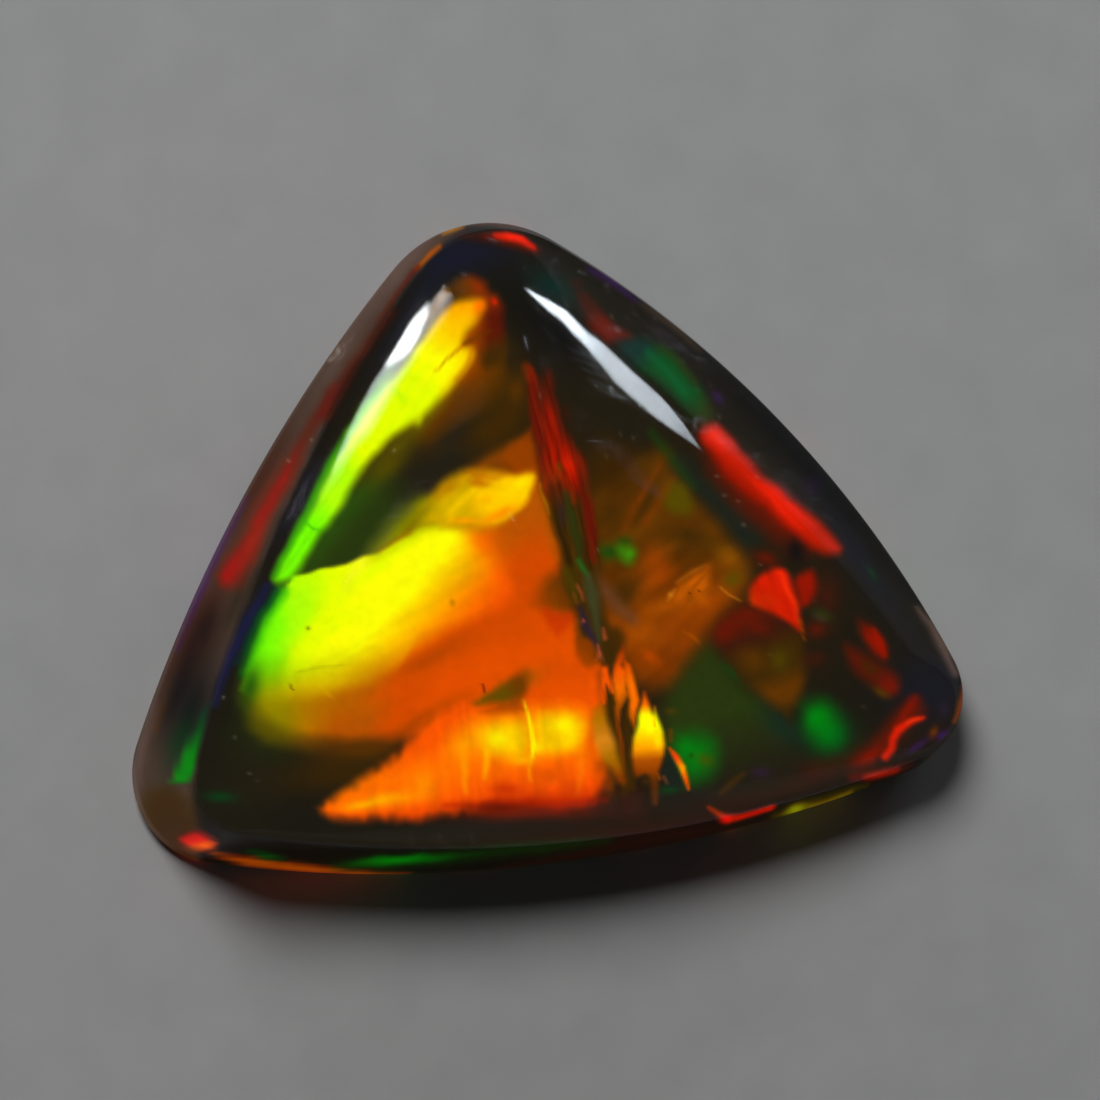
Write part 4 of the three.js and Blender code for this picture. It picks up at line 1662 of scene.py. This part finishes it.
def edge_curve(tree: NodeTree, along: Socket, points: Iterable[Point]) -> Socket:
    """Adds a curve through points from 0 to 1, read at a position along a panel.

    Args:
        tree: Where the node goes.
        along: The position along the panel.
        points: Position and value of each point.

    Returns:
        The curve's value there.
    """
    node = add_node(tree, "ShaderNodeFloatCurve", {"Value": along})
    curve = node.mapping.curves[0]
    for index, point in enumerate(points):
        if index < len(curve.points):
            curve.points[index].location = point
        else:
            curve.points.new(*point)
    node.mapping.update()
    return node.outputs[0]


@dataclass(frozen=True)
class SoftPanel:
    """A soft light panel whose bright face has a curved edge above and below.

    Attributes:
        name: What it is called.
        azimuth: Direction to its middle round the stone, anticlockwise from +X, in degrees.
        elevation: Direction to its middle above the floor, in degrees.
        size: Its width and height, in millimetres.
        radiance: How bright its face is at most.
        low: Its lower edge, as shares of the width and height.
        high: Its upper edge, as shares of the width and height.
        gain: How bright it is from end to end, as shares of the width and of the radiance.
        fade: How softly the lower and the upper edge fade, as shares of the height.
        distance: How far off it stands, in millimetres.
        tint: Colour of its light.
        streaks: Scale of the streaks that tear its upper edge, along it and up it.
        tear: How far they tear it, as a share of the height.
    """

    name: str
    azimuth: float
    elevation: float
    size: Point
    radiance: float
    low: tuple[Point, ...]
    high: tuple[Point, ...]
    gain: tuple[Point, ...]
    fade: Point
    distance: float = 140
    tint: tuple[float, float, float] = (0.94, 0.98, 1)
    streaks: Point = (9, 60)
    tear: float = 0.12

    def build(self) -> bpy.types.Object:
        """Makes the panel as an area light that faces the stone.

        Returns:
            The light.
        """
        turn, rise = np.radians((self.azimuth, self.elevation))
        away = np.array((np.cos(turn) * np.cos(rise), np.sin(turn) * np.cos(rise), np.sin(rise)))
        light = bpy.data.lights.new(self.name, "AREA")
        light.shape = "RECTANGLE"
        light.size, light.size_y = self.size[0] * MM, self.size[1] * MM
        light.energy = self.radiance * np.pi * light.size * light.size_y
        self.shape_face(cleared_tree(light))
        panel = link_object(self.name, light)
        across = np.array((-np.sin(turn), np.cos(turn), 0))
        axes = np.stack((across, np.cross(away, across), away), axis=1)
        panel.matrix_world = Matrix.Translation(away * self.distance * MM) @ Matrix(axes.tolist()).to_4x4()
        panel.visible_camera = False
        return panel

    def shape_face(self, tree: NodeTree) -> None:
        """Shades the face: full between its two edges, fading at each, and dimmer towards its ends.

        Args:
            tree: The light's node tree, still empty.
        """
        spot = add_node(tree, "ShaderNodeNewGeometry").outputs["Parametric"]
        across = add_node(tree, "ShaderNodeSeparateXYZ", {"Vector": spot}).outputs
        along, up = across["X"], across["Y"]
        streak = add_node(tree, "ShaderNodeMapping", {"Vector": spot, "Scale": (*self.streaks, 1)})
        grain = add_noise(tree, streak.outputs[0], 1, 2)
        centred = calculate(tree, "SUBTRACT", up, self.tear / 2)
        torn = calculate(tree, "MULTIPLY_ADD", grain, self.tear, centred)
        over_low = calculate(tree, "SUBTRACT", up, edge_curve(tree, along, self.low))
        under_high = calculate(tree, "SUBTRACT", edge_curve(tree, along, self.high), torn)
        face = edge_curve(tree, along, self.gain)
        for gap, width in ((over_low, self.fade[0]), (under_high, self.fade[1])):
            share = add_node(tree, "ShaderNodeMapRange", {"Value": gap, "From Min": 0.0, "From Max": width},
                             interpolation_type="SMOOTHSTEP")
            face = calculate(tree, "MULTIPLY", face, share.outputs[0])
        shader = add_node(tree, "ShaderNodeEmission", {"Color": (*self.tint, 1), "Strength": face})
        add_node(tree, "ShaderNodeOutputLight", {"Surface": shader.outputs[0]})


LEFT_PANEL = SoftPanel(
    "left_panel", 111.5, 13.95, (84, 26), 48,
    low=((0, 0.5), (0.454, 0.43), (0.5, 0.36), (0.518, 0.316), (0.566, 0.244), (0.603, 0.24), (0.644, 0.21),
         (0.688, 0.18), (1, 0.3)),
    high=((0, 0.6), (0.42, 0.6), (0.498, 0.6), (0.528, 0.63), (0.573, 0.565), (0.605, 0.46), (0.635, 0.355),
          (0.665, 0.22), (0.7, 0.2), (1, 0.2)),
    gain=((0, 0), (0.4, 0), (0.48, 0), (0.51, 0.95), (0.54, 1), (0.64, 1), (0.67, 0), (0.8, 0), (1, 0)),
    fade=(0.04, 0.12),
)
LEFT_VEIL = SoftPanel(
    "left_veil", 111.5, 13.95, (84, 26), 15,
    low=((0, 0.76), (0.07, 0.72), (0.107, 0.64), (0.178, 0.56), (0.314, 0.5), (0.454, 0.43), (0.518, 0.315),
         (0.568, 0.245), (0.605, 0.235), (0.647, 0.2), (0.697, 0.16), (0.756, 0.165), (0.825, 0.215),
         (0.89, 0.305), (1, 0.34)),
    high=((0, 1), (0.213, 1), (0.378, 0.98), (0.462, 0.9), (0.508, 0.83), (0.552, 0.79), (0.596, 0.745),
          (0.655, 0.71), (0.726, 0.69), (0.806, 0.57), (0.885, 0.58), (1, 0.5)),
    gain=((0, 0.25), (0.1, 0.7), (0.2, 0.78), (0.44, 0.66), (0.5, 0.8), (0.56, 0.95), (0.6, 1), (0.68, 0.92),
          (0.76, 0.82), (0.82, 0.72), (0.855, 0.45), (0.885, 0.16), (0.93, 0.03), (1, 0)),
    fade=(0.06, 0.3),
    distance=142,
)
RIGHT_PANEL = SoftPanel(
    "right_panel", 43.3, 7.0, (84, 34), 43,
    low=((0, 0.5), (0.061, 0.375), (0.114, 0.267), (0.167, 0.2), (0.22, 0.212), (0.271, 0.215), (0.32, 0.2),
         (0.345, 0.24), (0.37, 0.2), (0.484, 0.35), (0.584, 0.485), (0.665, 0.585), (0.769, 0.7),
         (0.902, 0.8), (1, 0.88)),
    high=((0, 0.38), (0.081, 0.515), (0.133, 0.585), (0.211, 0.657), (0.288, 0.672), (0.317, 0.6),
          (0.34, 0.56), (0.367, 0.5), (0.39, 0.485), (0.445, 0.528), (0.503, 0.59), (0.639, 0.75),
          (0.742, 0.815), (0.829, 0.845), (1, 0.9)),
    gain=((0, 0.16), (0.08, 0.19), (0.105, 0.22), (0.15, 0.31), (0.2, 0.32), (0.25, 0.37), (0.3, 0.39),
          (0.325, 0.46), (0.37, 0.8), (0.42, 1), (0.8, 1), (0.85, 0.8), (0.9, 0.2), (0.93, 0), (1, 0)),
    fade=(0.03, 0.08),
    tint=(0.83, 0.92, 1),
)


@dataclass(frozen=True)
class Studio:
    """A plain pale floor, soft light, and the camera where the photograph was taken.

    Attributes:
        floor_half: Half the width of the floor, in millimetres.
        floor_gap: How far it lies under the stone, in millimetres.
        floor_tone: Its darkest and palest tone.
        floor_grain: Scale of the noise between them, per metre.
        floor_dimming: Share of the tone that reflections and bounced light get.
        fill_size: Width of the round fill light, in millimetres.
        fill_power: Its power in watts.
        fill_place: Where it hangs, in millimetres.
        room_tone: Tone of the room for the light and reflections, and as the camera sees it.
        panels: The panels whose reflections are the highlights.
    """

    floor_half: float = 600
    floor_gap: float = 0.01
    floor_tone: Point = (0.5, 0.58)
    floor_grain: float = 900
    floor_dimming: float = 0.45
    fill_size: float = 160
    fill_power: float = 0.82
    fill_place: tuple[float, float, float] = (-120, 248, 288)
    room_tone: Point = (0.015, 0.3)
    panels: tuple[SoftPanel, ...] = (LEFT_PANEL, LEFT_VEIL, RIGHT_PANEL)

    def make_floor(self) -> bpy.types.Object:
        """Makes the floor just under the stone, dimmer in reflections than the camera sees it.

        Returns:
            The floor.
        """
        mesh = bpy.data.meshes.new("floor")
        half = self.floor_half * MM
        plan = ((-half, -half), (half, -half), (half, half), (-half, half))
        mesh.from_pydata([(*corner, -self.floor_gap * MM) for corner in plan], [], [(0, 1, 2, 3)])
        material = bpy.data.materials.new("pale_floor")
        tree = cleared_tree(material)
        place = add_node(tree, "ShaderNodeTexCoord").outputs["Object"]
        tone = span(tree, add_noise(tree, place, self.floor_grain, 3), self.floor_tone)
        seen = add_node(tree, "ShaderNodeLightPath").outputs["Is Camera Ray"]
        colour = calculate(tree, "MULTIPLY", tone, span(tree, seen, (self.floor_dimming, 1)))
        shader = add_node(tree, "ShaderNodeBsdfDiffuse", {"Color": colour})
        add_node(tree, "ShaderNodeOutputMaterial", {"Surface": shader.outputs[0]})
        mesh.materials.append(material)
        floor = link_object("floor", mesh)
        return floor

    def make_fill(self) -> bpy.types.Object:
        """Makes the large fill light behind and above, kept out of the stone's reflections.

        Returns:
            The light.
        """
        light = bpy.data.lights.new("fill", "AREA")
        light.shape = "DISK"
        light.size = self.fill_size * MM
        light.energy = self.fill_power
        fill = link_object("fill", light)
        away = Vector(self.fill_place) * MM
        fill.matrix_world = Matrix.Translation(away) @ away.to_track_quat("Z", "Y").to_matrix().to_4x4()
        fill.visible_glossy = fill.visible_transmission = fill.visible_camera = False
        return fill

    def make_world(self) -> None:
        """Makes the surroundings: dim for the light and reflections, and pale behind the floor."""
        world = bpy.data.worlds.new("studio")
        bpy.context.scene.world = world
        tree = cleared_tree(world)
        seen = add_node(tree, "ShaderNodeLightPath").outputs["Is Camera Ray"]
        shader = add_node(tree, "ShaderNodeBackground", {"Color": span(tree, seen, self.room_tone)})
        add_node(tree, "ShaderNodeOutputWorld", {"Surface": shader.outputs[0]})

    def build(self, shift: Array, view: PhotoView) -> None:
        """Builds the floor, the lights, the surroundings and the camera.

        Args:
            shift: How far the stone was moved to be centred, in millimetres.
            view: The photograph's view.
        """
        self.make_floor()
        for panel in self.panels:
            panel.build()
        self.make_fill()
        self.make_world()
        view.make_camera(shift)
        scene = bpy.context.scene
        scene.view_settings.view_transform = "Standard"
        scene.cycles.caustics_reflective = False
        scene.cycles.caustics_refractive = False


def main() -> None:
    """Builds the stone and the studio."""
    logging.basicConfig(level=logging.INFO, format="%(name)s: %(message)s")
    stone = OpalStone()
    body = stone.build()
    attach(body, "root")
    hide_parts("opal_stone")
    LOG.info("%s: %d points, %d faces", body.name, len(body.data.vertices), len(body.data.polygons))
    studio = Studio()
    studio.build(stone.shape.centring(), stone.view)
    LOG.info("studio: camera, floor, %d panels and fill", len(studio.panels))
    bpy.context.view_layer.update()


if __name__ == "__main__":
    main()
